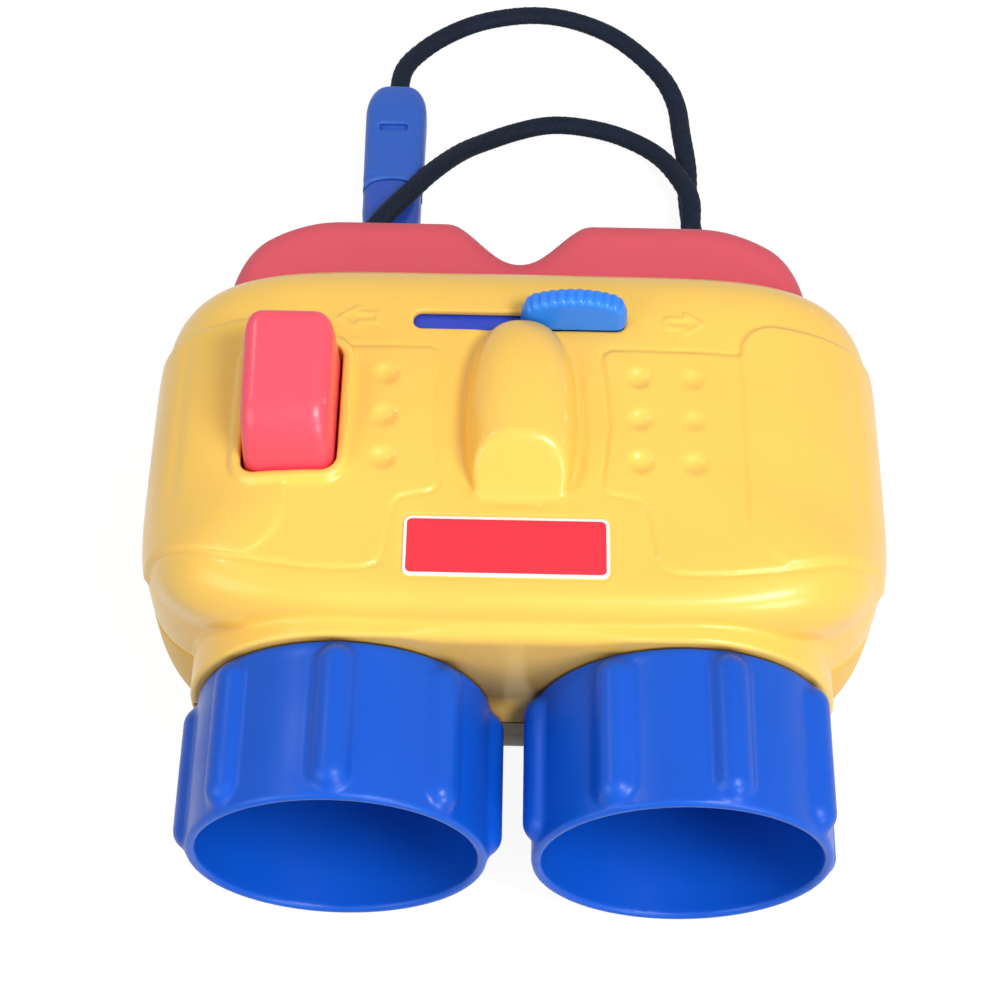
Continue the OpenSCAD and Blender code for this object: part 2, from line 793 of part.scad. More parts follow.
module btn_block(inset, foot_z) {
    intersection() {
        translate([btn_x - btn_w, btn_y, 0]) rotate([90, 0, 90]) linear_extrude(2 * btn_w)
            btn_side(inset, foot_z);
        translate([btn_x, btn_y + btn_l, 0]) rotate([90, 0, 0]) linear_extrude(2 * btn_l)
            polygon([
                [-btn_w / 2 + inset, foot_z], [btn_w / 2 - inset, foot_z], [btn_w / 2 - inset, btn_roof_z],
                [btn_w / 2 - inset - btn_draft, btn_roof_z + btn_h],
                [-btn_w / 2 + inset + btn_draft, btn_roof_z + btn_h], [-btn_w / 2 + inset, btn_roof_z]]);
        btn_prism(-inset, foot_z, btn_roof_z);
    }
}

module push_button() {
    color("tomato") {
        difference() {
            union() {
                btn_block(0, btn_flange_z);
                btn_prism(btn_flange_out, btn_flange_z, btn_flange_t);
            }
            btn_block(btn_wall, btn_flange_z - over);
        }
        intersection() {
            btn_block(0, btn_flange_z);
            translate([btn_x, btn_y, spring_top_z]) cylinder(r = spring_boss_r, h = btn_roof_z);
        }
    }
}

// Plate that carries the button's spring, staked to two posts of the upper shell
module button_cradle() {
    pin_r = spring_r - spring_wire / 2 - run_gap;
    color("whitesmoke") difference() {
        translate([btn_x, btn_y, cradle_z - cradle_t]) {
            linear_extrude(cradle_t)
                rounded_rect(2 * (post_x + post_r), cradle_w, post_r);
            cylinder(r = pin_r, h = cradle_t + spring_pin_h);
        }
        for (side = [-1, 1]) translate([btn_x + side * post_x, btn_y, cradle_z - cradle_t - over])
            cylinder(r = stake_r + seat_gap, h = cradle_t + 2 * over);
    }
}

// Closed tube of round rings swept along a list of points
function swept_points(path, r, sides) = [
    for (i = [0 : len(path) - 1])
        let (before = path[max(i - 1, 0)], after = path[min(i + 1, len(path) - 1)])
        let (along = (after - before) / norm(after - before))
        let (level = cross(along, [0, 0, 1]))
        let (across = level / norm(level), upward = cross(across, along))
        for (k = [0 : sides - 1])
            path[i] + r * (cos(360 * k / sides) * across + sin(360 * k / sides) * upward)];

module swept_tube(path, r, sides) {
    polyhedron(swept_points(path, r, sides), ring_faces(sides, len(path)));
}

// Height that the spring's centre line climbs
spring_climb = spring_len - spring_wire - 2 * seat_gap;

function spring_path() = [
    for (i = [0 : spring_turns * spring_steps])
        let (t = 360 * i / spring_steps)
        [btn_x + spring_r * cos(t), btn_y + spring_r * sin(t),
         cradle_z + seat_gap + spring_wire / 2 + spring_climb * i / (spring_turns * spring_steps)]];

// Least gap between neighbouring curls of the spring
echo(spring_gap = spring_climb / spring_turns - spring_wire);

module button_spring() {
    color("silver") swept_tube(spring_path(), spring_wire / 2, 6);
}

module case_screw(k) {
    x = k % 2 == 1 ? -screw_x : screw_x;
    y = k < 3 ? screw_front_y : screw_rear_y;
    color("gray") translate([x, y, screw_seat_z]) {
        translate([0, 0, -screw_head_h]) cylinder(r = screw_head_r, h = screw_head_h);
        cylinder(r = screw_shank_r, h = screw_len);
    }
}

module strap_outer() {
    color("black") swept_tube(outer_route, cord_d / 2, cord_sides);
}

module strap_inner() {
    color("black") swept_tube(inner_route, cord_d / 2, cord_sides);
}

// Stopper that keeps both strands behind the strap hole
module strap_knot() {
    color("black") knot_form();
}

// Oval section of the clasp along Y
module clasp_oval(inset, y, len) {
    translate([clasp_x, y + len, clasp_lift + clasp_h / 2]) rotate([90, 0, 0]) linear_extrude(len)
        rounded_rect(clasp_w - 2 * inset, clasp_h - 2 * inset, clasp_h / 2 - inset - seat_gap);
}

module clasp_socket() {
    socket_y = clasp_y + plug_len + seat_gap;
    color("royalblue") difference() {
        clasp_oval(0, socket_y, socket_len);
        clasp_oval(clasp_wall, socket_y - over, prong_len + 2 * over);
        translate([clasp_x - clasp_slot_w / 2, clasp_slot_y - clasp_slot_l / 2, clasp_lift + clasp_h / 2])
            cube([clasp_slot_w, clasp_slot_l, clasp_h]);
    }
}

module clasp_plug() {
    prong_w = clasp_w - 2 * clasp_wall - clasp_h / 2;
    color("mediumblue") {
        clasp_oval(0, clasp_y, plug_len);
        translate([clasp_x - prong_w / 2, clasp_y + plug_len, clasp_lift + clasp_h / 2 - prong_h / 2])
            cube([prong_w, prong_len, prong_h]);
    }
}

upper_shell();
lower_shell();
eye_guard();
left_ring();
right_ring();
objective_lens(-1);  // left_objective_lens
objective_lens(1);  // right_objective_lens
eye_lens(-1);  // left_eye_lens
eye_lens(1);  // right_eye_lens
view_slide();
slider_knob();
prism(-1);  // left_prism
prism(1);  // right_prism
push_button();
button_cradle();
button_spring();
case_screw(1);  // case_screw_1
case_screw(2);  // case_screw_2
case_screw(3);  // case_screw_3
case_screw(4);  // case_screw_4
strap_outer();
strap_inner();
strap_knot();
clasp_socket();
clasp_plug();
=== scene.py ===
import math

import bpy
import numpy as np
from mathutils import Matrix, Vector


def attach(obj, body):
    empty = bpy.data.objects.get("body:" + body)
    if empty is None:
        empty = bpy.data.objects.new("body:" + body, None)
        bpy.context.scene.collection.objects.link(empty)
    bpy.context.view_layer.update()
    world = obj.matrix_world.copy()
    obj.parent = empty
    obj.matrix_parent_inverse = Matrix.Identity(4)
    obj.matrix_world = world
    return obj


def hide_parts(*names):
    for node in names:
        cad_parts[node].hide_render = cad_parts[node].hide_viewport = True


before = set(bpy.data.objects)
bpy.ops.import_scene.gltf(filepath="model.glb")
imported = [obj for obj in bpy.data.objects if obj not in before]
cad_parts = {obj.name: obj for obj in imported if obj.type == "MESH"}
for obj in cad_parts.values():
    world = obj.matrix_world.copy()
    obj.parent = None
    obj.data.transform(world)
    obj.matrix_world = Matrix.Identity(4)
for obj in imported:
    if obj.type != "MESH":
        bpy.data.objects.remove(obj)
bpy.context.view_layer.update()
MM = 0.001

# Sizes shared with the CAD model. Sizes and places are in millimetres, but for lamps and materials in metres.
AXIS = 29.0            # height of both optical axes and of the parting plane
GAP = 30.0             # from the middle to an optical axis
RING_R = 26.2          # outside radius of a ring between its ribs
RING_FRONT = -63.5     # rim of the rings
RING_BACK = -34.7      # back of their wide part
RING_MID = (RING_FRONT + RING_BACK) / 2
FLANGE_Y = -28.7       # middle of the flange that holds a ring behind the front wall
COLLAR_FRONT = -34.3   # front face of the collar round the barrels
COLLAR_WALL = 1.6      # collar outside a ring's radius
HALF_W = 68.0          # half of the housing's width
HALF_L = 38.85         # half of its length
MID = 8.85             # middle of its length
TOP = 32.0             # from the parting plane to the roof
BASE = 30.2            # from the parting plane to the rounded bottom, which the table cuts flat
WALL = 2.2             # thickness of the housing
SEAM = 0.06            # half of the gap between the two shells
PLAN_FRONT = 4.6       # power of the plan's outline in front of the middle
PLAN_REAR = 6.0        # and behind it
ROOF_POWER = 3         # power of the upper shell's section
BASE_POWER = 4         # and of the lower shell's
GUARD_FRONT = 32.6     # front face of the eye guard, inside the housing
GUARD_REAR = 63.5      # its rear face
GUARD_OPENING = 33.0   # where the housing's opening for it begins
BUTTON_X = -40.2
BUTTON_Y = 9.0
BUTTON_W = 8.1         # half of the button's width
BUTTON_L = 13.1        # half of its length
BUTTON_ROOF = 60.6     # height of the roof beside it
SLIDE_X = 10.0         # middle of the knob at rest
SLIDE_Y = 29.2         # middle of its slot
KNOB_Z = 61.25         # underside of the knob's grip
CLASP_X = -28.0
CLASP_MID = 4.6        # height of the clasp's middle
CLASP_JOINT = 103.2    # where its two halves meet at the edges
SCREW_X = 55.5
SCREW_ROWS = (-16, 13)
SCREWS = [(side * SCREW_X, MID + row) for row in SCREW_ROWS for side in (-1, 1)]

# Sizes of the looks alone
BROW = 3.0             # overhang of the roof's front edge above the rings
LABEL_X = -1.6
LABEL_Y = -18.9


# Camera
PHOTO_WIDTH = 997
FOCAL_PIXELS = 2200
SENSOR = 36.0
CAMERA_PLACE = Vector((-3.1, -209.8, 386.6)) * MM
CAMERA_DOWN = 58.4     # degrees below the horizon
CAMERA_ROLL = 1.15

cam_data = bpy.data.cameras.new("camera")
cam_data.sensor_width = SENSOR
cam_data.sensor_fit = "HORIZONTAL"
cam_data.lens = SENSOR * FOCAL_PIXELS / PHOTO_WIDTH
cam_data.clip_start = 0.01
cam = bpy.data.objects.new("camera", cam_data)
bpy.context.scene.collection.objects.link(cam)
cam.matrix_world = (
    Matrix.Translation(CAMERA_PLACE)
    @ Matrix.Rotation(math.radians(90 - CAMERA_DOWN), 4, "X")
    @ Matrix.Rotation(math.radians(CAMERA_ROLL), 4, "Z")
)
bpy.context.scene.camera = cam
bpy.context.scene.view_settings.view_transform = "Standard"


# Materials
def srgb(red, green, blue):
    """Linear colour of an sRGB colour from 0 to 255."""
    linear = []
    for value in (red / 255, green / 255, blue / 255):
        linear.append(value / 12.92 if value <= 0.04045 else ((value + 0.055) / 1.055) ** 2.4)
    return tuple(linear) + (1.0,)


def shade(colour, factor):
    return tuple(min(1.0, value * factor) for value in colour[:3]) + (1.0,)


class Nodes:
    """A node tree with its output, and short ways to add the nodes that the materials share."""

    def __init__(self, owner, output="ShaderNodeOutputMaterial"):
        owner.use_nodes = True
        self.owner = owner
        self.tree = owner.node_tree
        self.tree.nodes.clear()
        self.out = self.add(output)

    def add(self, kind, **values):
        node = self.tree.nodes.new(kind)
        for name, value in values.items():
            if name in node.inputs:
                node.inputs[name].default_value = value
            else:
                setattr(node, name, value)
        return node

    def link(self, source, target):
        self.tree.links.new(source, target)

    def feed(self, socket, value):
        """Links an output to a socket, or sets the socket to a plain value."""
        if isinstance(value, bpy.types.NodeSocket):
            self.link(value, socket)
        else:
            socket.default_value = value

    def place(self):
        return self.add("ShaderNodeTexCoord").outputs["Object"]

    def noise(self, coords, scale, detail=2.0, rough=0.5):
        node = self.add("ShaderNodeTexNoise", Scale=scale, Detail=detail, Roughness=rough)
        self.link(coords, node.inputs["Vector"])
        return node.outputs["Fac"]

    def ramp(self, value, low, high, at_low, at_high):
        node = self.add("ShaderNodeMapRange", clamp=True)
        self.link(value, node.inputs["Value"])
        for name, limit in (("From Min", low), ("From Max", high), ("To Min", at_low), ("To Max", at_high)):
            node.inputs[name].default_value = limit
        return node.outputs["Result"]

    def mix(self, factor, first, second):
        node = self.add("ShaderNodeMix", data_type="RGBA")
        self.link(factor, node.inputs[0])
        self.feed(node.inputs[6], first)
        self.feed(node.inputs[7], second)
        return node.outputs[2]

    def math(self, operation, first, second):
        node = self.add("ShaderNodeMath", operation=operation)
        self.feed(node.inputs[0], first)
        self.feed(node.inputs[1], second)
        return node.outputs[0]

    def split(self, vector):
        node = self.add("ShaderNodeSeparateXYZ")
        self.link(vector, node.inputs[0])
        return node.outputs

    def bump(self, height, strength, distance):
        node = self.add("ShaderNodeBump", Strength=strength, Distance=distance)
        self.link(height, node.inputs["Height"])
        return node.outputs["Normal"]

    def finish(self, shader):
        self.link(shader.outputs[0], self.out.inputs["Surface"])
        return self.owner


def new_material(name):
    return Nodes(bpy.data.materials.new(name))


# The front recess of the housing, in metres: where its painted shade begins and where it is full
RECESS_START = -0.024
RECESS_FULL = -0.029


def plastic(name, colour, rough=0.35, worn=0.35, grain=0.05, grain_scale=1600, coat=0.0, gloss=0.5,
            edge=None, deep=None, shadow=None, shadow_from=0.6):
    """Moulded plastic: slight tint drift, fine grain, scuffs, paler worn edges, darker colour in the creases,
    and painted shade in the front recess.
    """
    m = new_material(name)
    place = m.place()
    drift = m.ramp(m.noise(place, 24, 3), 0.3, 0.7, 0, 1)
    base = m.mix(drift, shade(colour, 0.94), shade(colour, 1.04))
    point = m.add("ShaderNodeNewGeometry").outputs["Pointiness"]
    speck = m.noise(place, 260, 4, 0.65)
    crest = m.math("MULTIPLY", m.ramp(point, 0.515, 0.6, 0, worn), m.ramp(speck, 0.35, 0.65, 0.45, 1))
    crease = m.math("MULTIPLY", m.ramp(point, 0.485, 0.42, 0, 0.5), m.ramp(speck, 0.3, 0.6, 0.6, 1))
    base = m.mix(crest, base, edge or shade(colour, 1.25))
    base = m.mix(crease, base, deep or shade(colour, 0.6))
    stretch = m.add("ShaderNodeMapping", Scale=(120, 900, 400), Rotation=(0.2, 0.1, 0.7))
    m.link(place, stretch.inputs["Vector"])
    scratch = m.ramp(m.noise(stretch.outputs["Vector"], 1.0, 2), 0.66, 0.74, 0, 1)
    base = m.mix(m.math("MULTIPLY", scratch, 0.16), base, shade(colour, 1.12))
    # Painted shade: in the front recess between the rings, the colour turns to the shadow colour where
    # ambient occlusion finds the surface hidden, standing in for the shade that falls there.
    if shadow:
        hidden = m.add("ShaderNodeAmbientOcclusion", Distance=0.03, samples=6).outputs["AO"]
        in_front = m.ramp(m.split(place)["Y"], RECESS_START, RECESS_FULL, 0, 1)
        painted_recess_shade = m.math("MULTIPLY", m.ramp(hidden, shadow_from, 0.4 * shadow_from, 0, 0.92), in_front)
        base = m.mix(painted_recess_shade, base, shadow)
    shader = m.add("ShaderNodeBsdfPrincipled")
    m.link(base, shader.inputs["Base Color"])
    dull = m.ramp(m.noise(place, 90, 3), 0.3, 0.7, rough - 0.05, rough + 0.07)
    m.link(m.math("ADD", dull, m.math("MULTIPLY", scratch, 0.12)), shader.inputs["Roughness"])
    shader.inputs["Coat Weight"].default_value = coat
    shader.inputs["Coat Roughness"].default_value = 0.17
    shader.inputs["Specular IOR Level"].default_value = gloss
    m.link(m.bump(m.noise(place, grain_scale, 3), grain, 0.0004), shader.inputs["Normal"])
    return m.finish(shader)


def clear(name, tint):
    """Clear plastic with faint haze and wiping marks."""
    m = new_material(name)
    place = m.place()
    haze = m.ramp(m.noise(place, 60, 3), 0.4, 0.7, 0, 1)
    shader = m.add("ShaderNodeBsdfPrincipled")
    m.link(m.mix(haze, tint, shade(tint, 0.93)), shader.inputs["Base Color"])
    m.link(m.ramp(m.noise(place, 420, 4), 0.5, 0.75, 0.04, 0.16), shader.inputs["Roughness"])
    shader.inputs["Transmission Weight"].default_value = 0.92
    shader.inputs["IOR"].default_value = 1.49
    return m.finish(shader)


def steel(name):
    """Plated steel with slight blotches."""
    m = new_material(name)
    place = m.place()
    shader = m.add("ShaderNodeBsdfPrincipled")
    blotch = m.mix(m.noise(place, 500, 3), (0.5, 0.5, 0.49, 1), (0.66, 0.66, 0.67, 1))
    m.link(blotch, shader.inputs["Base Color"])
    m.link(m.ramp(m.noise(place, 900, 3), 0.3, 0.7, 0.25, 0.42), shader.inputs["Roughness"])
    shader.inputs["Metallic"].default_value = 1.0
    return m.finish(shader)


def braid(name, colour):
    """Dull braided polyester: flecks of paler yarn, darker hollows and a fine fuzz."""
    m = new_material(name)
    place = m.place()
    fleck = m.ramp(m.noise(place, 1500, 4, 0.7), 0.45, 0.75, 0, 1)
    point = m.add("ShaderNodeNewGeometry").outputs["Pointiness"]
    base = m.mix(fleck, colour, shade(colour, 2.2))
    base = m.mix(m.ramp(point, 0.5, 0.4, 0, 0.7), base, shade(colour, 0.4))
    shader = m.add("ShaderNodeBsdfPrincipled")
    m.link(base, shader.inputs["Base Color"])
    m.link(m.ramp(fleck, 0, 1, 0.62, 0.8), shader.inputs["Roughness"])
    shader.inputs["Specular IOR Level"].default_value = 0.12
    m.link(m.bump(m.noise(place, 2600, 3), 0.35, 0.0003), shader.inputs["Normal"])
    return m.finish(shader)


# The shadow colours below are painted shade for the front recess between the rings.
YELLOW = plastic("yellow_shell", srgb(254, 203, 89), rough=0.36, worn=0.3, coat=0.3, gloss=0.38,
                 edge=srgb(255, 238, 160), deep=srgb(222, 146, 42), shadow=srgb(98, 57, 24), shadow_from=0.45)
# The lower shell is the same yellow plastic as the upper one. This copy is painted darker and more orange as
# shade, and its near-black shadow colour is painted shade in the front recess.
SHADED_YELLOW = plastic("yellow_base_shaded", srgb(250, 198, 78), rough=0.4, worn=0.2, gloss=0.2,
                edge=srgb(255, 236, 130), deep=srgb(190, 124, 38), shadow=srgb(24, 14, 14), shadow_from=0.8)
RED = plastic("red_guard", srgb(218, 82, 97), rough=0.55, worn=0.15, grain=0.16, grain_scale=1100,
              edge=srgb(248, 134, 148), deep=srgb(166, 43, 60))
BLUE = plastic("blue_ring", srgb(10, 84, 200), rough=0.34, worn=0.4, grain=0.04, gloss=0.28,
               edge=srgb(48, 150, 255), deep=srgb(10, 36, 154))
SKY = plastic("blue_knob", srgb(34, 130, 245), rough=0.3, worn=0.4, grain=0.04, coat=0.05, gloss=0.4,
              edge=srgb(130, 200, 255), deep=srgb(24, 72, 224))
NAVY = plastic("navy_slide", srgb(41, 70, 198), rough=0.45, worn=0.2)
PINK = plastic("red_button", srgb(245, 78, 99), rough=0.36, grain=0.06, coat=0.15,
               edge=srgb(255, 154, 166), deep=srgb(212, 48, 70))
CLASP = plastic("blue_clasp", srgb(43, 95, 194), rough=0.4, worn=0.4, gloss=0.4,
                edge=srgb(107, 166, 255), deep=srgb(19, 41, 130))
PLUG = plastic("blue_plug", srgb(36, 77, 178), rough=0.4, worn=0.4, coat=0.05,
               edge=srgb(95, 142, 248), deep=srgb(15, 31, 107))
WHITE = plastic("white_inner", srgb(236, 236, 230), rough=0.5, worn=0.1, grain=0.04)
LABEL_RED = plastic("label_red", srgb(236, 44, 62), rough=0.3, worn=0.1, grain=0.02)
LABEL_WHITE = plastic("label_white", srgb(246, 243, 236), rough=0.3, worn=0.1, grain=0.02)
CORD = braid("black_braid", srgb(22, 30, 45))
CLEAR = clear("clear_lens", (0.93, 0.97, 0.98, 1.0))
STEEL = steel("plated_steel")


# Distance functions: each gives the distance to a surface, negative inside
TINY = 1e-6


def smin(a, b, blend):
    """Union of two distances with a rounded blend."""
    share = np.clip(0.5 + 0.5 * (b - a) / blend, 0, 1)
    return b + (a - b) * share - blend * share * (1 - share)


def smax(a, b, blend):
    """Intersection of two distances with a rounded blend."""
    return -smin(-a, -b, blend)


def box2(x, y, mid_x, mid_y, half_x, half_y, corner):
    """Rectangle with rounded corners."""
    out_x = np.abs(x - mid_x) - half_x + corner
    out_y = np.abs(y - mid_y) - half_y + corner
    outside = np.hypot(np.maximum(out_x, 0), np.maximum(out_y, 0))
    return outside + np.minimum(np.maximum(out_x, out_y), 0) - corner


def poly2(x, y, points):
    """Closed outline through the points."""
    nearest = np.full(x.shape, 1e9)
    sign = np.ones(x.shape)
    for (start_x, start_y), (end_x, end_y) in zip(points, points[-1:] + points[:-1]):
        edge_x, edge_y = end_x - start_x, end_y - start_y
        from_x, from_y = x - start_x, y - start_y
        along = np.clip((from_x * edge_x + from_y * edge_y) / (edge_x ** 2 + edge_y ** 2), 0, 1)
        nearest = np.minimum(nearest, (from_x - edge_x * along) ** 2 + (from_y - edge_y * along) ** 2)
        above = y >= start_y
        below = y < end_y
        left = edge_x * from_y > edge_y * from_x
        sign = np.where((above & below & left) | (~above & ~below & ~left), -sign, sign)
    return sign * np.sqrt(nearest)


def smooth(share):
    """0 to 1 with soft ends."""
    share = np.clip(share, 0, 1)
    return share * share * (3 - 2 * share)


def step(distance, width):
    """1 inside an outline and 0 outside it, with a soft edge."""
    return smooth(0.5 - distance / width)


def bell(distance, width):
    """1 on an outline, falling to 0 beside it."""
    return np.exp(-(distance / width) ** 2)


# Housing
WALL_SIDE, WALL_FRONT, WALL_REAR = 4.8, 27.0, 8.0   # powers: how upright the walls are
BROW_START, BROW_RISE = 12.0, 12.0                  # above the parting plane


def plan_terms(x, y, half_w, half_l):
    """Parts of the plan's outline across and along, their sum, the outline's power and the wall's power."""
    power = np.where(y < MID, PLAN_FRONT, PLAN_REAR)
    across = (np.abs(x) / half_w) ** power
    along = (np.abs(y - MID) / half_l) ** power
    total = across + along + 1e-9
    end = np.where(y < MID, WALL_FRONT, WALL_REAR)
    wall = WALL_SIDE + (end - WALL_SIDE) * along / total
    return across, along, total, power, wall


def pillow(x, y, h, height, section, inset=0.0, brow=0.0):
    """The housing's rounded form, h from the parting plane, with a brow that overhangs the front."""
    half_w, tall = HALF_W - inset, height - inset
    overhang = np.where(y < MID, brow * smooth((h - BROW_START) / BROW_RISE), 0)
    half_l = HALF_L - inset + overhang
    across, along, total, power, wall = plan_terms(x, y, half_w, half_l)
    up = np.maximum(h, 0) / tall
    outline = total ** (wall / power)
    level = outline + up ** section
    rise = wall * outline / total
    slope_x = rise * across / (np.abs(x) / half_w + TINY) / half_w
    slope_y = rise * along / (np.abs(y - MID) / half_l + TINY) / half_l
    slope_z = section * up ** (section - 1) / tall
    slope = np.sqrt(slope_x ** 2 + slope_y ** 2 + slope_z ** 2)
    return np.clip(level * np.log(level + 1e-12) / (slope + TINY), -15, 15)


def roof(x, y):
    """Height of the housing's smooth top above the table."""
    half_l = np.where(y < MID, HALF_L + BROW, HALF_L)
    _, _, total, power, wall = plan_terms(x, y, HALF_W, half_l)
    return AXIS + TOP * np.maximum(1 - total ** (wall / power), 0) ** (1 / ROOF_POWER)


# Raised and sunken detail of the roof, as one map of heights over the plan
MAP_X, MAP_Y, MAP_STEP = -74.0, -38.0, 0.2
MAP_END_X, MAP_END_Y = 74.0, 54.0
PANEL_FRONT, PANEL_BEND, PANEL_CURVE = -23.7, 31.0, 0.0065
PANEL_REAR, PANEL_SIDE = 22.9, 75.0
PANEL_SHIFT = 1.3      # how much closer to the middle the left panel reaches
PANEL_HEIGHT = 0.3     # also the depth of the line round it
GRIP_HEIGHT = 0.7      # raised grip at each side
GRIP_MID = (65.4, 3.9)
GRIP_HALF = (25.0, 26.0)
GRIP_CORNERS = (11.0, 7.0)   # front and rear
GRIP_INSET = 0.9       # behind the panel's front edge
FLUTE_X, FLUTE_Y, FLUTE_HALF, FLUTE_DEPTH = 61.2, 11.0, 15.5, 0.25
LIP_WIDTH, LIP_HEIGHT = 2.5, 1.6   # raised lip round the button
HUMP_BED = (0, 8.8, 11.6, 19.3, 9)   # sunken bed round the hump: middle, half sizes and corner
BED_DEPTH = 0.35
LABEL_HALF = (17.8, 5.9)
LABEL_ROOM, LABEL_SUNK = 0.4, 0.2
ARROW_LINE, ARROW_HEIGHT = 0.3, 0.35
ARROW = [(3.4, 0), (0.2, 2.4), (0.2, 1.0), (-3.4, 1.0), (-3.4, -1.0), (0.2, -1.0), (0.2, -2.4)]
ARROWS = ((-1, -29.4), (1, 30.2))   # direction and place


def panel_front(side):
    """Front edge of a panel: straight, then bending back towards the side."""
    return PANEL_FRONT + PANEL_CURVE * np.maximum(side - PANEL_BEND, 0) ** 2


def panel_outline():
    front_edge = [(side, float(panel_front(side))) for side in (PANEL_SIDE, 67, 60, 52, 45, 38, PANEL_BEND)]
    front_corner = [(27.5, -23.5), (25.2, -22.6), (24, -20.6)]
    shoulder = [(23.2, -13), (22.7, -10.6), (21.6, -9.2), (19.8, -8.6)]
    shoulder_corner = [(16.6, -8.0), (15.4, -7.2), (15.1, -5.9)]
    waist = [(15.8, 1), (16.4, 7), (15.8, 15)]
    rear_corner = [(15.1, 20.8), (15.5, 22.2), (17.0, PANEL_REAR)]
    side_corner = [(PANEL_SIDE, PANEL_REAR)]
    return front_edge + front_corner + shoulder + shoulder_corner + waist + rear_corner + side_corner


def relief_map():
    x, y = np.meshgrid(np.arange(MAP_X, MAP_END_X, MAP_STEP), np.arange(MAP_Y, MAP_END_Y, MAP_STEP),
                       indexing="ij")
    side = np.abs(x)
    grip_corner = np.where(y < GRIP_MID[1], *GRIP_CORNERS)
    grip_outline = box2(side, y, *GRIP_MID, *GRIP_HALF, grip_corner)
    grip = step(np.maximum(grip_outline, panel_front(side) + GRIP_INSET - y), 1.0)
    panel = poly2(np.where(x < 0, side + PANEL_SHIFT, side), y, panel_outline())
    height = PANEL_HEIGHT * (step(panel, 0.6) - bell(panel, 0.4)) * (1 - grip)
    flute = np.hypot(np.maximum(np.abs(y - FLUTE_Y) - FLUTE_HALF, 0), side - FLUTE_X)
    height += GRIP_HEIGHT * grip - FLUTE_DEPTH * bell(flute, 1.1)
    lip = step(box2(x, y, BUTTON_X, BUTTON_Y, BUTTON_W + LIP_WIDTH, BUTTON_L + LIP_WIDTH, 5.0), 1.2)
    height = height * (1 - lip) + LIP_HEIGHT * lip
    height -= BED_DEPTH * step(box2(x, y, *HUMP_BED), 2.0)
    label_w, label_l = LABEL_HALF
    label = box2(x, y, LABEL_X, LABEL_Y, label_w + LABEL_ROOM, label_l + LABEL_ROOM, 1.6)
    height -= LABEL_SUNK * step(label, 0.5)
    for direction, place in ARROWS:
        arrow = poly2((x - place) * direction, y - SLIDE_Y, ARROW)
        height += ARROW_HEIGHT * step(np.abs(arrow) - ARROW_LINE, 0.5)
    return height


RELIEF = relief_map()


def relief(x, y):
    """Height of the roof's detail, read between the points of its map."""
    across = np.clip((x - MAP_X) / MAP_STEP, 0, RELIEF.shape[0] - 2.001)
    along = np.clip((y - MAP_Y) / MAP_STEP, 0, RELIEF.shape[1] - 2.001)
    i, j = across.astype(np.int32), along.astype(np.int32)
    u, v = across - i, along - j
    near = RELIEF[i, j] * (1 - u) + RELIEF[i + 1, j] * u
    far = RELIEF[i, j + 1] * (1 - u) + RELIEF[i + 1, j + 1] * u
    return near * (1 - v) + far * v


def barrel(x, h, radius):
    """Both round barrels, h from the optical axes."""
    return np.hypot(np.abs(x) - GAP, h) - radius


def hump(x, y, z):
    """Long round-ended hump with a slanted front, narrower towards the front."""
    mid_x, half_w, tall, base = 0.6, 9.9, 8.7, 60.8
    front, widest, tail = -8.9, 4.5, 23.2
    front_share = 0.77
    section, taper = 2.4, 2.6
    share = np.clip((y - front) / (widest - front), 0, 1)
    across = np.abs(x - mid_x) / (half_w * (front_share + (1 - front_share) * share * (2 - share)))
    up = np.maximum(z - base, 0) / tall
    radius = (across ** section + up ** section + 1e-9) ** (1 / section)
    along = np.maximum(y - widest, 0) / tail
    body = ((radius ** taper + along ** taper) ** (1 / taper) - 1) * tall
    slant_rise, slant_run = 8.5, 7.6
    facet = ((front - y) * slant_rise + (z - base) * slant_run) / math.hypot(slant_rise, slant_run)
    return smax(body, facet, 1.2)


GUARD_Z = AXIS + 1.5   # middle of the eye guard
GUARD_HALF_W, GUARD_HALF_H, GUARD_CORNER = 56.75, 18.5, 8.0
GUARD_ROOM = 0.2
BORE_R = RING_R - 3
BORE_END = -20.5
GROOVE_R = RING_R - 1  # groove in the bore for the ring's flange
GROOVE_HALF = 1.6
BORE_WALL_R = RING_R + 1.2
BORE_WALL_END = -21.3
COLLAR_END = -15.0
COLLAR_EDGE = 0.8      # rounding of the collar's front edge
BETWEEN_EDGE = 2.4     # more rounding between the barrels
BETWEEN_HALF, BETWEEN_FADE = 16.0, 10.0


def guard_section(x, z, grow):
    """Section of the eye guard, seen from behind."""
    return box2(x, z, 0, GUARD_Z, GUARD_HALF_W + grow, GUARD_HALF_H + grow, GUARD_CORNER + grow)


def shell_cuts(d, x, y, h, z):
    """Ring bores, their flange grooves and the opening for the eye guard, in both shells."""
    bore = np.maximum(barrel(x, h, BORE_R), y - BORE_END)
    groove = np.maximum(barrel(x, h, GROOVE_R), np.abs(y - FLANGE_Y) - GROOVE_HALF)
    d = np.maximum(np.maximum(d, -bore), -groove)
    return smax(d, -np.maximum(guard_section(x, z, GUARD_ROOM), GUARD_OPENING - y), 0.5)


def add_collar(d, y, section, edge, blend):
    """Adds a collar of the given section in front of the housing."""
    return smin(d, np.maximum(smax(section, COLLAR_FRONT - y, edge), y - COLLAR_END), blend)


def hollow(x, y, h, height, section):
    """Inside of a shell, apart from the walls round the ring bores."""
    inner = pillow(x, y, h, height, section, WALL)
    return np.maximum(inner, -np.maximum(barrel(x, h, BORE_WALL_R), y - BORE_WALL_END))


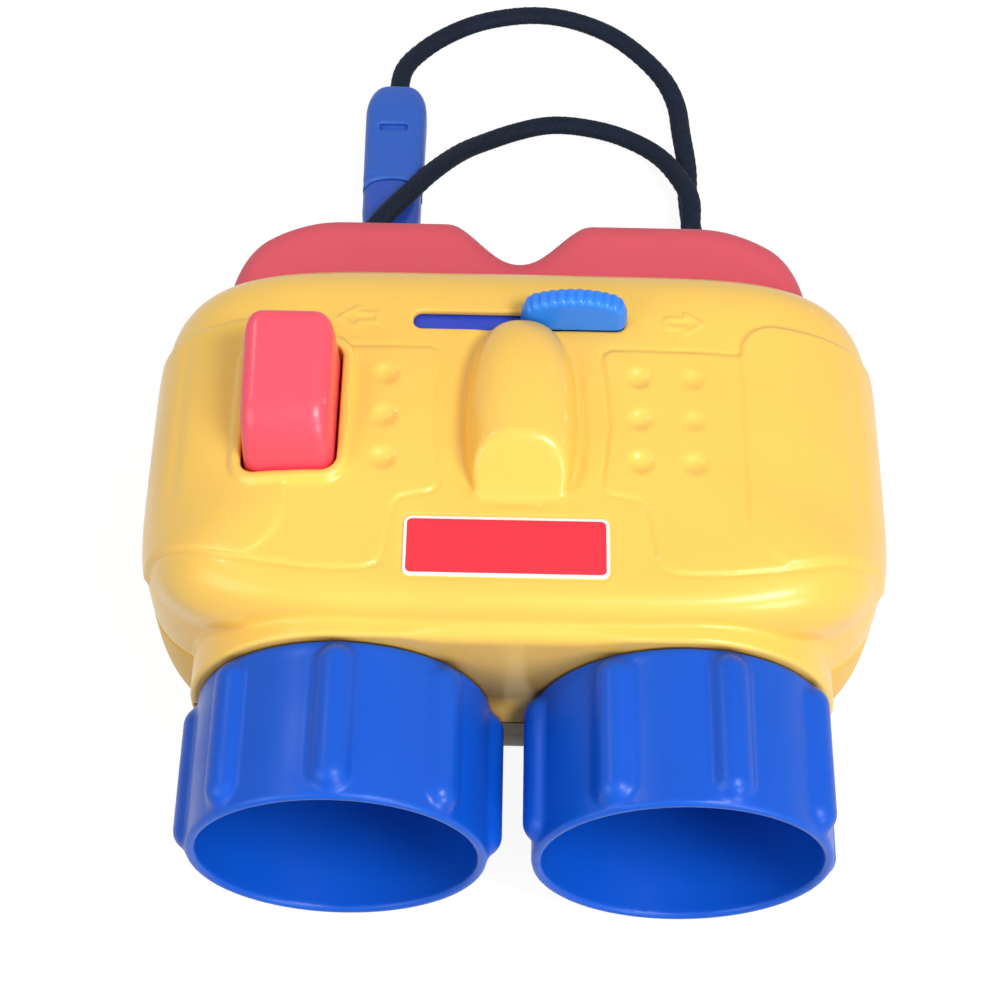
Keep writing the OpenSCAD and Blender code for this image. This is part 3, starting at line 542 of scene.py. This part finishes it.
DIMPLE_ROWS = (-23.6, 21.8, 31.5)
DIMPLE_Y, DIMPLE_PITCH = 7.7, 9.0
DIMPLE_Z, DIMPLE_R = 63.75, 3.35    # ball that presses each dimple
RELIEF_START, RELIEF_RISE = 8.0, 1.6   # above the parting plane
SLOT_HALF_L, SLOT_HALF_W = 19.3, 1.95
SLIDE_ROOM_L, SLIDE_ROOM_W, SLIDE_ROOM_TOP = 42.0, 3.4, 59.4
BUTTON_ROOM = 0.45     # clearance round the button
GUIDE_WALL, GUIDE_LOW = 1.9, 53.4   # guide round the button, down to this height


def upper(x, y, z):
    """Upper shell."""
    h = z - AXIS
    d = pillow(x, y, h, TOP, ROOF_POWER, 0, BROW)
    d = d - relief(x, y) * smooth((h - RELIEF_START) / RELIEF_RISE)
    collar = np.hypot(np.maximum(np.abs(x) - GAP, 0), h) - RING_R - COLLAR_WALL
    between = step(np.abs(x) - BETWEEN_HALF, BETWEEN_FADE)
    d = add_collar(d, y, collar, COLLAR_EDGE + BETWEEN_EDGE * between, 0.6)
    d = smin(d, hump(x, y, z), 1.4)
    for row in DIMPLE_ROWS:
        for k in (-1, 0, 1):
            away_y = y - DIMPLE_Y - DIMPLE_PITCH * k
            ball = np.sqrt((x - row) ** 2 + away_y ** 2 + (z - DIMPLE_Z) ** 2) - DIMPLE_R
            d = smax(d, -ball, 0.5)
    guide = box2(x, y, BUTTON_X, BUTTON_Y, BUTTON_W + GUIDE_WALL, BUTTON_L + GUIDE_WALL, 4.4)
    guide = np.maximum(guide, GUIDE_LOW - z)
    d = smax(d, -np.maximum(hollow(x, y, h, TOP, ROOF_POWER), -guide), 0.3)
    d = shell_cuts(d, x, y, h, z)
    d = smax(d, -box2(x, y, 0, SLIDE_Y, SLOT_HALF_L, SLOT_HALF_W, 1.6), 0.6)
    slide_room = box2(x, y, 0, SLIDE_Y, SLIDE_ROOM_L, SLIDE_ROOM_W, 0.5)
    d = np.maximum(d, -np.maximum(slide_room, z - SLIDE_ROOM_TOP))
    button_well = box2(x, y, BUTTON_X, BUTTON_Y, BUTTON_W + BUTTON_ROOM, BUTTON_L + BUTTON_ROOM, 2.9)
    d = smax(d, -button_well, 0.8)
    return smax(d, SEAM - h, 0.5)


POST_R = 4.2
SCREW_HOLE_R = 1.5
SCREW_HEAD_TOP = 6.0   # height of the screw heads' seats
SCREW_POCKET_R = 3.3
STRAP_HOLE_X, STRAP_HOLE_Z = 44.0, 6.9
STRAP_HOLE_W, STRAP_HOLE_H, STRAP_HOLE_CORNER = 4.2, 2.2, 2.05


def lower(x, y, z):
    """Lower shell, with its flat base, screw posts and strap hole."""
    h = AXIS - z
    collar = barrel(x, h, RING_R + COLLAR_WALL)
    d = add_collar(pillow(x, y, h, BASE, BASE_POWER), y, collar, COLLAR_EDGE, 0.8)
    inside = hollow(x, y, h, BASE, BASE_POWER)
    for screw_x, screw_y in SCREWS:
        inside = np.maximum(inside, POST_R - np.hypot(x - screw_x, y - screw_y))
    d = smax(d, -np.maximum(inside, WALL - z), 0.3)
    d = shell_cuts(d, x, y, h, z)
    strap_hole = box2(x, z, STRAP_HOLE_X, STRAP_HOLE_Z, STRAP_HOLE_W, STRAP_HOLE_H, STRAP_HOLE_CORNER)
    d = smax(d, -np.maximum(strap_hole, GUARD_OPENING - y), 0.5)
    for screw_x, screw_y in SCREWS:
        away = np.hypot(x - screw_x, y - screw_y)
        d = smax(d, -np.maximum(away - SCREW_POCKET_R, z - SCREW_HEAD_TOP), 0.4)
        d = np.maximum(d, SCREW_HOLE_R - away)
    d = smax(d, -z, 1.0)
    return smax(d, SEAM - h, 0.5)


def eye_guard(x, y, z):
    """Eye guard: rounded bar with a nose notch, two eye cups and a flange inside the housing."""
    side = np.abs(x)
    end_x, end_y, end_r = 33.35, 36.5, 27
    flat_rear = y - GUARD_REAR
    round_end = np.hypot(side - end_x, y - end_y) - end_r
    plan = np.where((side > end_x) & (y > end_y), round_end, flat_rear)
    notch_w, notch_depth = 14.6, 9.9
    turn = np.clip(side / notch_w, 0, 1) * math.pi
    slope = notch_depth * np.sin(turn) * math.pi / (2 * notch_w)
    notch = (flat_rear + notch_depth * (1 + np.cos(turn)) / 2) / np.sqrt(1 + slope * slope)
    rear = smax(plan, np.where(side < notch_w, notch, flat_rear), 0.8)
    d = smax(guard_section(x, z, 0), rear, 5.5)
    flange_y, flange_half, flange_grow = 35.4, 1.0, 2.0
    flange = np.maximum(guard_section(x, z, flange_grow), np.abs(y - flange_y) - flange_half)
    d = np.minimum(d, flange)
    radius = np.hypot(side - GAP, z - AXIS)
    cup_r, cup_start, cup_length, cup_flare = 11.0, 56.8, 6.7, 4.2
    flare = cup_flare * np.clip((y - cup_start) / cup_length, 0, 1.4) ** 1.5
    d = smax(d, cup_r + flare - radius, 1.4)
    seat_r, seat_end = 12.4, 34.2
    lens_seat = np.maximum(radius - seat_r, y - seat_end)
    return np.maximum(np.maximum(d, -lens_seat), GUARD_FRONT - y)


def ring(mid_x, turn):
    """Turning ring with eight ribs, and the sleeve and flange that hold it in the housing."""
    rib_step = math.pi / 4
    rib_r, rib_sunk, rib_half, rib_back = 3.75, 1.25, 10.0, 0.4
    tube_half, half_wall = (RING_BACK - RING_FRONT) / 2, 0.9
    inside_r = RING_R - 2 * half_wall
    sleeve_y, sleeve_half = -32.0, 4.6
    sleeve_r = RING_R - 4.2
    back_r, back_half = RING_R - 2.7, 2.4
    flange_r, flange_half, flange_thick = RING_R - 3.3, 1.8, 1.25

    def form(x, y, z):
        out_x, out_z = x - mid_x, z - AXIS
        radius = np.hypot(out_x, out_z)
        tube = box2(radius, y, RING_R - half_wall, RING_MID, half_wall, tube_half, 0.88)
        angle = np.arctan2(out_x, out_z) - math.radians(turn) + rib_step / 2
        angle = np.mod(angle, rib_step) - rib_step / 2
        past_end = np.maximum(np.abs(y - RING_MID - rib_back) - rib_half, 0)
        outward = radius * np.cos(angle) - RING_R + rib_sunk
        rib = np.sqrt((radius * np.sin(angle)) ** 2 + outward ** 2 + past_end ** 2) - rib_r
        rib = np.maximum(rib, inside_r + 0.2 - radius)
        d = np.maximum(smin(tube, rib, 1.1), inside_r - radius)
        back = box2(radius, y, back_r, RING_BACK - half_wall, back_half, half_wall, 0.4)
        sleeve = box2(radius, y, sleeve_r, sleeve_y, half_wall, sleeve_half, 0.3)
        flange = box2(radius, y, flange_r, FLANGE_Y, flange_half, flange_thick, 0.3)
        return smin(smin(d, back, 0.8), np.minimum(sleeve, flange), 0.4)
    return form


def button(x, y, z):
    """Push button: hollow wedge with a slanted face and a flange under the roof."""
    side, along, up = np.abs(x - BUTTON_X), y - BUTTON_Y, z - BUTTON_ROOF
    wall, top_inside = 1.8, 70.0
    flange_out, flange_z, flange_half = 1.4, 52.35, 0.75
    height, lean_left, lean_right, lean_rear = 13.6, 0.4, 0.8, 0.02
    top_z, top_tilt = 71.98, math.radians(11.3)
    face_tilt = math.radians(23.4)
    flank = side - BUTTON_W - np.where(x < BUTTON_X, lean_left, -lean_right) * up / height
    top = math.cos(top_tilt) * (z - top_z) - math.sin(top_tilt) * along
    face = math.sin(face_tilt) * up - math.cos(face_tilt) * (along + BUTTON_L)
    front = smax(face, -along - BUTTON_L, 0.5)
    rear = along - BUTTON_L + lean_rear * up
    d = smax(smax(smax(top, front, 3.8), rear, 3.2), flank, 3.6)
    flange = box2(side, along, 0, 0, BUTTON_W + flange_out, BUTTON_L + flange_out, 3.9)
    flange = np.maximum(flange, np.abs(z - flange_z) - flange_half)
    inside = np.maximum(d + wall, z - top_inside)
    return np.maximum(np.minimum(np.maximum(d, flange_z - flange_half - z), flange), -inside)


def knob(x, y, z):
    """Arched thumb knob with grooves across its top, on a stem through the slot."""
    out_x, side = x - SLIDE_X, np.abs(y - SLIDE_Y)
    arch_r, height = 17.34, 8
    grooves, groove_depth, groove_span = 12, 0.35, 68.4
    below = z - (KNOB_Z + height - arch_r)
    share = np.arctan2(out_x, below) / math.radians(groove_span)
    wave = 0.5 + 0.5 * np.cos(2 * math.pi * grooves * share)
    arch = np.hypot(out_x, below) - arch_r + groove_depth * wave ** 2
    half_l, half_w, draft = 9.75, 2.3, 0.06
    stem_l, stem_w, stem_low, overlap = 8.9, 1.35, 58.45, 0.5
    flank = side - half_w + draft * (z - KNOB_Z)
    d = smax(smax(arch, flank, 1.4), np.abs(out_x) - half_l, 2.6)
    d = smax(d, KNOB_Z - z, 0.4)
    stem = np.maximum(np.abs(out_x) - stem_l, side - stem_w)
    stem = np.maximum(stem, np.maximum(z - KNOB_Z - overlap, stem_low - z))
    return np.minimum(d, stem)


def shutter(x, y, z):
    """Strip on the slide that closes the slot beside the knob."""
    half_l, half_w, mid_z, half_h = 29.6, 3.0, 58.6, 0.5
    return np.maximum(box2(x, y, SLIDE_X, SLIDE_Y, half_l, half_w, 0.6), np.abs(z - mid_z) - half_h)


CLASP_CORNER = 2.6
SOCKET_HALF_H = 4.4
PLUG_HALF_W, PLUG_HALF_H = 6.4, 4.25
CLASP_ROOM = 0.12      # half of the gap between the clasp's halves


def clasp_joint(x):
    """Curved line where the clasp's halves meet."""
    bow, half_w = 2.4, 6.8
    return CLASP_JOINT + bow * (1 - np.clip(np.abs(x - CLASP_X) / half_w, 0, 1) ** 2)


def clasp_socket(x, y, z):
    """Rear half of the clasp, with a round end, a lip line and a shallow slot."""
    out_x, out_z = x - CLASP_X, z - CLASP_MID
    round_start, round_length, end = 125.5, 8.8, 134.1
    share = np.clip((y - round_start) / round_length, 0, 1)
    end_w, round_w, end_drop = 3.0, 3.6, 1.3
    widening = 0.25 * np.clip((y - CLASP_JOINT - 2.8) / 18, 0, 1)
    half_w = end_w + round_w * np.sqrt(1 - share * share) + widening
    half_h = SOCKET_HALF_H - end_drop * share * share
    d = box2(out_x, out_z, 0, 0, half_w, half_h, CLASP_CORNER)
    d = smax(d, y - end, 1.2)
    d = smax(d, clasp_joint(x) + CLASP_ROOM - y, 0.6)
    lip_back, lip_depth = 2.2, 0.22
    d = d + lip_depth * bell(clasp_joint(x) + lip_back - y, 0.45)
    slot_x, slot_y, slot_half_w, slot_half_l, slot_floor = -0.4, 120.6, 3.1, 1.0, 3.2
    slot = np.maximum(box2(out_x, y, slot_x, slot_y, slot_half_w, slot_half_l, 0.5), slot_floor - out_z)
    return smax(d, -slot, 0.4)


def clasp_plug(x, y, z):
    """Front half of the clasp, tapered towards the cord."""
    out_x, out_z = x - CLASP_X, z - CLASP_MID
    taper_start, taper_length, end = 98.0, 9.2, 89.05
    share = np.clip((taper_start - y) / taper_length, 0, 1)
    taper_w, taper_h = 2.8, 1.2
    half_w = PLUG_HALF_W - taper_w * share * share
    half_h = PLUG_HALF_H - taper_h * share * share
    d = box2(out_x, out_z, 0, 0, half_w, half_h, CLASP_CORNER)
    d = smax(d, end - y, 1.5)
    return smax(d, y - clasp_joint(x) + CLASP_ROOM, 0.8)


def screw(mid_x, mid_y):
    """Case screw from below: domed head with a cross recess, and a threaded shank."""
    head_r, head_low = 2.9, 4.1
    shank_r, shank_top, overlap = 1.04, 37.8, 0.1
    thread_depth, pitch = 0.26, 1.0
    cross_long, cross_wide, cross_top = 1.7, 0.34, 5.3

    def form(x, y, z):
        side_x, side_y = np.abs(x - mid_x), np.abs(y - mid_y)
        radius = np.hypot(side_x, side_y)
        dome = head_low + 0.08 * radius * radius - z
        head = smax(np.maximum(radius - head_r, z - SCREW_HEAD_TOP), dome, 0.4)
        cross = np.minimum(np.maximum(side_x - cross_long, side_y - cross_wide),
                           np.maximum(side_y - cross_long, side_x - cross_wide))
        head = np.maximum(head, -np.maximum(cross, z - cross_top))
        turn = np.arctan2(y - mid_y, x - mid_x) / (2 * math.pi)
        thread = 2 * thread_depth * np.abs(np.mod(z / pitch - turn, 1.0) - 0.5)
        ends = np.maximum(z - shank_top, SCREW_HEAD_TOP - overlap - z)
        shank = np.maximum(radius - shank_r - thread, ends) * 0.8
        return np.minimum(head, shank)
    return form


# Meshing
CORNERS = np.array([(i, j, k) for i in (0, 1) for j in (0, 1) for k in (0, 1)])
EDGES = [(a, b) for a in range(8) for b in range(a + 1, 8) if np.abs(CORNERS[a] - CORNERS[b]).sum() == 1]
BLOCK = 8              # grid points along the side of a block


def index_grid(counts):
    """All index triples below the counts, one in a row."""
    return np.stack(np.meshgrid(*[np.arange(count) for count in counts], indexing="ij"), -1).reshape(-1, 3)


def sample(f, low, high, spacing):
    """Values of f on a grid, exact only in the blocks near its zero level."""
    blocks = np.ceil((np.array(high) - low) / spacing / BLOCK).astype(int)
    block = index_grid(blocks)
    middle = low + (block * BLOCK + (BLOCK - 1) / 2) * spacing
    coarse = f(*middle.T)
    spread = coarse.reshape(blocks)
    for axis in range(3):
        spread = np.repeat(spread, BLOCK, axis)
    values = spread.astype(np.float32)
    near = block[np.abs(coarse) < BLOCK * spacing * 1.35 + 0.6]
    offsets = index_grid((BLOCK, BLOCK, BLOCK))
    for part in np.array_split(near, max(1, len(near) // 600)):
        index = (part[:, None, :] * BLOCK + offsets[None]).reshape(-1, 3)
        points = (low + index * spacing).astype(np.float32)
        values[tuple(index.T)] = f(*points.T)
    return values


def cell_points(values, cells):
    """Mean of the points where the zero level crosses each cell's edges, in shares of the cell."""
    corner_values = np.stack([values[tuple((cells + corner).T)] for corner in CORNERS], 1).astype(float)
    total = np.zeros((len(cells), 3))
    count = np.zeros(len(cells))
    for a, b in EDGES:
        at_a, at_b = corner_values[:, a], corner_values[:, b]
        crossed = (at_a < 0) != (at_b < 0)
        share = np.where(crossed, at_a / np.where(crossed, at_a - at_b, 1), 0)
        point = CORNERS[a] + (CORNERS[b] - CORNERS[a]) * share[:, None]
        total += np.where(crossed[:, None], point, 0)
        count += crossed
    return total / count[:, None]


def cell_quads(inside, vertex):
    """One quad for each grid edge that the zero level crosses, facing outwards."""
    quads = []
    for axis in range(3):
        start, end = [slice(1, -1)] * 3, [slice(1, -1)] * 3
        start[axis], end[axis] = slice(0, -1), slice(1, None)
        at_start, at_end = inside[tuple(start)], inside[tuple(end)]
        edge = np.argwhere(at_start != at_end)
        outward = at_start[tuple(edge.T)]
        edge = edge + np.array([0 if k == axis else 1 for k in range(3)])
        corners = []
        for du, dv in ((-1, -1), (0, -1), (0, 0), (-1, 0)):
            cell = edge.copy()
            cell[:, (axis + 1) % 3] += du
            cell[:, (axis + 2) % 3] += dv
            corners.append(vertex[tuple(cell.T)])
        quad = np.stack(corners, 1)
        quads.append(np.where(outward[:, None], quad, quad[:, ::-1]))
    quads = np.concatenate(quads)
    return quads[(quads >= 0).all(1)]


def settle(f, points, spacing):
    """Moves points onto the zero level along the slope of f."""
    reach = 0.03
    for _ in range(2):
        value = f(*points.T)
        slope = np.stack([f(*(points + shift * reach).T) - value for shift in np.eye(3)], 1) / reach
        move = slope * (value / np.maximum((slope * slope).sum(1), 0.05))[:, None]
        size = np.linalg.norm(move, axis=1, keepdims=True)
        points = points - move * np.minimum(1, 0.7 * spacing / np.maximum(size, 1e-9))
    return points


def surface(f, low, high, spacing):
    """Vertices and quads on the zero level of f within a box."""
    low = np.array(low, float)
    values = sample(f, low, high, spacing)
    inside = values < 0
    size = np.array(values.shape)
    count = np.zeros(size - 1, np.uint8)
    for i, j, k in CORNERS:
        count += inside[i:size[0] - 1 + i, j:size[1] - 1 + j, k:size[2] - 1 + k]
    crossed = (count > 0) & (count < 8)
    cells = np.argwhere(crossed)
    vertex = np.full(size - 1, -1, np.int32)
    vertex[crossed] = np.arange(len(cells))
    points = low + (cells + cell_points(values, cells)) * spacing
    return settle(f, points, spacing), cell_quads(inside, vertex)


def make(name, vertices, faces, material):
    """A smooth-shaded mesh object from vertices in millimetres and faces of one size."""
    faces = np.asarray(faces, np.int32)
    count, sides = faces.shape
    mesh = bpy.data.meshes.new(name)
    mesh.vertices.add(len(vertices))
    mesh.vertices.foreach_set("co", (np.asarray(vertices, np.float64) * MM).astype(np.float32).ravel())
    mesh.loops.add(faces.size)
    mesh.loops.foreach_set("vertex_index", faces.ravel())
    mesh.polygons.add(count)
    mesh.polygons.foreach_set("loop_start", np.arange(count, dtype=np.int32) * sides)
    mesh.polygons.foreach_set("loop_total", np.full(count, sides, np.int32))
    mesh.polygons.foreach_set("use_smooth", np.ones(count, bool))
    mesh.update(calc_edges=True)
    mesh.validate()
    mesh.materials.append(material)
    obj = bpy.data.objects.new(name, mesh)
    bpy.context.scene.collection.objects.link(obj)
    return obj


def band_faces(rows, around):
    """Quads between neighbouring closed rows of points."""
    start = np.arange(rows - 1)[:, None] * around
    here = np.arange(around)
    after = (here + 1) % around
    quads = np.stack([start + here, start + after, start + around + after, start + around + here], -1)
    return quads.reshape(-1, 4)


def piece(name, f, low, high, spacing, material, body, node):
    """A moulded piece that stands for a CAD node."""
    obj = make(name, *surface(f, low, high, spacing), material)
    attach(obj, body)
    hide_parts(node)
    return obj


# Strap: the routes of the CAD model's two strands
OUTER = [(46, 36, 7), (46, 46, 7), (46, 55, 5), (45, 65, 2), (43, 76, 2), (41, 86, 2), (39, 96, 2),
         (38, 106, 2), (38, 116, 2), (37, 126, 2), (36, 135, 2), (33, 143, 2), (27, 151, 2), (20, 157, 2),
         (11, 161, 2), (2, 162, 2), (-8, 160, 2), (-16, 156, 2), (-23, 150, 2), (-27, 143, 3), (-28, 134, 4)]
INNER = [(42, 36, 7), (42, 46, 7), (42, 55, 5), (41, 65, 3), (39, 76, 4), (38, 86, 5), (38, 96, 6),
         (38, 104, 6), (35, 112, 5), (31, 119, 3), (25, 124, 2), (17, 127, 2), (8, 128, 2), (0, 126, 2),
         (-7, 122, 3), (-13, 116, 6), (-19, 107, 10), (-24, 99, 12), (-30, 91, 12), (-36, 83, 9),
         (-41, 75, 4), (-44, 66, 2), (-42, 60, 2), (-36, 58, 2), (-30, 60, 2), (-28, 66, 3), (-28, 74, 4),
         (-28, 82, 4), (-28, 89, 4)]
CORD_LOWEST = 2.0      # height of the cord's middle where it lies on the table
CORD_HALF_W = 2.2
CORD_HALF_H = 1.72
CORD_SPACING = 0.45
CORD_SIDES = 32
STRANDS = 8            # in each of the braid's two directions
STRAND_LAY = 2.3       # length of cord from one strand to the next
YARN_RELIEF = 0.26


def smooth_path(points, spacing):
    """Even points on a smooth curve through the route's points, and their distances along it."""
    route = np.array(points, float)
    route = np.vstack([2 * route[0] - route[1], route, 2 * route[-1] - route[-2]])
    t = np.linspace(0, 1, 40, endpoint=False)[:, None]
    curve = []
    for a, b, c, d in zip(route, route[1:], route[2:], route[3:]):
        square = (2 * a - 5 * b + 4 * c - d) * t ** 2
        cube = (3 * b - a - 3 * c + d) * t ** 3
        curve.append(0.5 * (2 * b + (c - a) * t + square + cube))
    curve = np.vstack(curve + [route[-2][None]])
    curve[:, 2] = np.maximum(curve[:, 2], CORD_LOWEST)
    length = np.concatenate([[0], np.cumsum(np.linalg.norm(np.diff(curve, axis=0), axis=1))])
    even = np.linspace(0, length[-1], int(length[-1] / spacing) + 1)
    return np.stack([np.interp(even, length, curve[:, axis]) for axis in range(3)], 1), even


def unit(vectors):
    return vectors / np.linalg.norm(vectors, axis=1, keepdims=True)


def strap(name, route, node):
    """Flat-lying braided cord: two sets of strands that cross over and under each other."""
    path, distance = smooth_path(route, CORD_SPACING)
    along = unit(np.gradient(path, axis=0))
    across = unit(np.cross(along, (0, 0, 1.0)))
    upward = np.cross(across, along)
    angle = 2 * math.pi * np.arange(CORD_SIDES) / CORD_SIDES
    around = angle[None] * STRANDS / (2 * math.pi)
    climb = distance[:, None] / STRAND_LAY
    first = np.sin(math.pi * (around + climb))
    second = np.sin(math.pi * (around - climb))
    over = 0.5 + 0.5 * first * second
    yarn = np.abs(first) ** 0.7 * over + np.abs(second) ** 0.7 * (1 - over)
    raised = YARN_RELIEF * (yarn - 0.75)
    sideways = np.cos(angle)[None] * (CORD_HALF_W + raised)
    up = np.sin(angle)[None] * (CORD_HALF_H + raised)
    vertices = path[:, None] + across[:, None] * sideways[..., None] + upward[:, None] * up[..., None]
    obj = make(name, vertices.reshape(-1, 3), band_faces(len(path), CORD_SIDES), CORD)
    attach(obj, "housing")
    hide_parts(node)


socket = piece("clasp_socket_half", clasp_socket, (-36, 101, -0.6), (-20, 136, 10), 0.4, CLASP,
               "housing", "clasp_socket")
plug = piece("clasp_plug_half", clasp_plug, (-36, 87, -0.6), (-20, 109, 10), 0.4, PLUG,
             "housing", "clasp_plug")
strap("strap_outer_braid", OUTER, "strap_outer")
strap("strap_inner_braid", INNER, "strap_inner")


# Moulded pieces: form, box to search, grid spacing, material, body and CAD node
RIGHT_RING_TURN = 15   # degrees that the right ring stands turned

piece("upper_housing", upper, (-71, -37, 27.5), (71, 50, 72), 0.45, YELLOW,
      "housing", "upper_shell")
piece("lower_housing", lower, (-71, -37, -1.5), (71, 50, 31), 0.8, SHADED_YELLOW,
      "housing", "lower_shell")
piece("guard", eye_guard, (-61, 31.5, 7), (61, 65.5, 54), 0.7, RED,
      "housing", "eye_guard")
for word, mid_x, turn in (("left", -GAP, 0), ("right", GAP, RIGHT_RING_TURN)):
    piece(word + "_ribbed_ring", ring(mid_x, turn), (mid_x - 30, -65, -1), (mid_x + 30, -25.5, 59), 0.55,
          BLUE, word + "_ring", word + "_ring")
piece("push_button_cap", button, (-51, -7, 50.5), (-29, 25, 76), 0.4, PINK,
      "button", "push_button")
strip = make("slot_shutter", *surface(shutter, (-22, 25.5, 57.5), (42, 33, 60), 0.4), NAVY)
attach(strip, "slide")
piece("slide_knob", knob, (-1, 26, 57.5), (21, 32.5, 70.5), 0.28, SKY,
      "slide", "slider_knob")
for number, (screw_x, screw_y) in enumerate(SCREWS, 1):
    piece(f"screw_{number}", screw(screw_x, screw_y), (screw_x - 3.5, screw_y - 3.5, 3),
          (screw_x + 3.5, screw_y + 3.5, 39), 0.24, STEEL, "housing", f"case_screw_{number}")


# Label: a bare plate with a pale border
def plate(name, half_w, half_l, corner, lift, thick, material):
    """Thin rounded plate that follows the roof."""
    rim = 96
    angle = 2 * math.pi * np.arange(rim) / rim
    far = 1000         # takes all rim points to a corner, apart from the four in the middle of a side
    rim_x = np.clip(far * np.cos(angle), corner - half_w, half_w - corner) + corner * np.cos(angle)
    rim_y = np.clip(far * np.sin(angle), corner - half_l, half_l - corner) + corner * np.sin(angle)
    rows = []
    edge = [(1, thick), (1, 0.04)]
    face = [(share, 0) for share in (0.985, 0.8, 0.6, 0.4, 0.2, 0.0005)]
    for share, drop in edge + face:
        x, y = rim_x * share + LABEL_X, rim_y * share + LABEL_Y
        rows.append(np.stack([x, y, roof(x, y) + lift - drop], 1))
    obj = make(name, np.vstack(rows), band_faces(len(rows), rim), material)
    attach(obj, "housing")


BORDER = 0.6           # width of the label's pale border
plate("label_border", *LABEL_HALF, 1.4, 0.12, 0.4, LABEL_WHITE)
plate("label_face", LABEL_HALF[0] - BORDER, LABEL_HALF[1] - BORDER, 0.9, 0.19, 0.3, LABEL_RED)


# Materials of the pieces taken over from the CAD model
KEPT = {"view_slide": NAVY, "button_cradle": WHITE, "button_spring": STEEL, "strap_knot": CORD}
for word in ("left", "right"):
    for lens in ("objective_lens", "eye_lens", "prism"):
        KEPT[word + "_" + lens] = CLEAR
for node, material in KEPT.items():
    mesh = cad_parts[node].data
    mesh.materials.clear()
    mesh.materials.append(material)


# Floor, background and lamps
FLOOR_HALF = 2500
FLOOR_GLOW = 0.92      # white of the floor where it is seen
SKY_LOW, SKY_HIGH = 0.07, 0.41


def grey(level):
    return (level, level, level, 1)


def seen(nodes):
    """1 where the camera, a reflection or a clear piece looks, and 0 for light on the object."""
    rays = nodes.add("ShaderNodeLightPath").outputs
    straight = nodes.math("MAXIMUM", rays["Is Camera Ray"], rays["Is Transmission Ray"])
    return nodes.math("MAXIMUM", straight, rays["Is Glossy Ray"])


def floor():
    """Floor that looks white, keeps the object's shadow and throws little light back."""
    m = new_material("floor")
    plain = m.add("ShaderNodeBsdfDiffuse", Color=grey(0.3))
    shadowed = m.add("ShaderNodeBsdfDiffuse", Color=grey(0.15))
    glow = m.add("ShaderNodeEmission", Color=grey(1), Strength=FLOOR_GLOW)
    white = m.add("ShaderNodeAddShader")
    m.link(shadowed.outputs[0], white.inputs[0])
    m.link(glow.outputs[0], white.inputs[1])
    pick = m.add("ShaderNodeMixShader")
    m.link(seen(m), pick.inputs[0])
    m.link(plain.outputs[0], pick.inputs[1])
    m.link(white.outputs[0], pick.inputs[2])
    corners = [(x * FLOOR_HALF, y * FLOOR_HALF, 0) for x, y in ((-1, -1), (1, -1), (1, 1), (-1, 1))]
    make("floor", corners, [(0, 1, 2, 3)], m.finish(pick))


def studio():
    """White background, and a soft sky that is brighter overhead."""
    world = bpy.data.worlds.new("studio")
    bpy.context.scene.world = world
    m = Nodes(world, "ShaderNodeOutputWorld")
    direction = m.add("ShaderNodeTexCoord").outputs["Generated"]
    sky = m.ramp(m.split(direction)["Z"], 0, 0.9, SKY_LOW, SKY_HIGH)
    back = m.add("ShaderNodeBackground", Color=grey(1))
    m.link(m.math("MAXIMUM", seen(m), sky), back.inputs["Strength"])
    m.finish(back)


def lamp(name, place, size, power):
    """Round lamp that points at the origin, in metres and watts."""
    data = bpy.data.lights.new(name, "AREA")
    data.shape = "DISK"
    data.size = size
    data.energy = power
    obj = bpy.data.objects.new(name, data)
    bpy.context.scene.collection.objects.link(obj)
    aim = Vector(place).normalized().to_track_quat("Z", "Y").to_matrix().to_4x4()
    obj.matrix_world = Matrix.Translation(place) @ aim


floor()
studio()
lamp("key", (0.35, -0.30, 0.75), 0.28, 4.5)
lamp("fill", (-0.55, -0.35, 0.45), 0.5, 1.7)
lamp("front", (0.5, -0.7, 0.4), 0.35, 3.0)
lamp("spark", (-0.5, 0.25, 0.75), 0.05, 0.6)
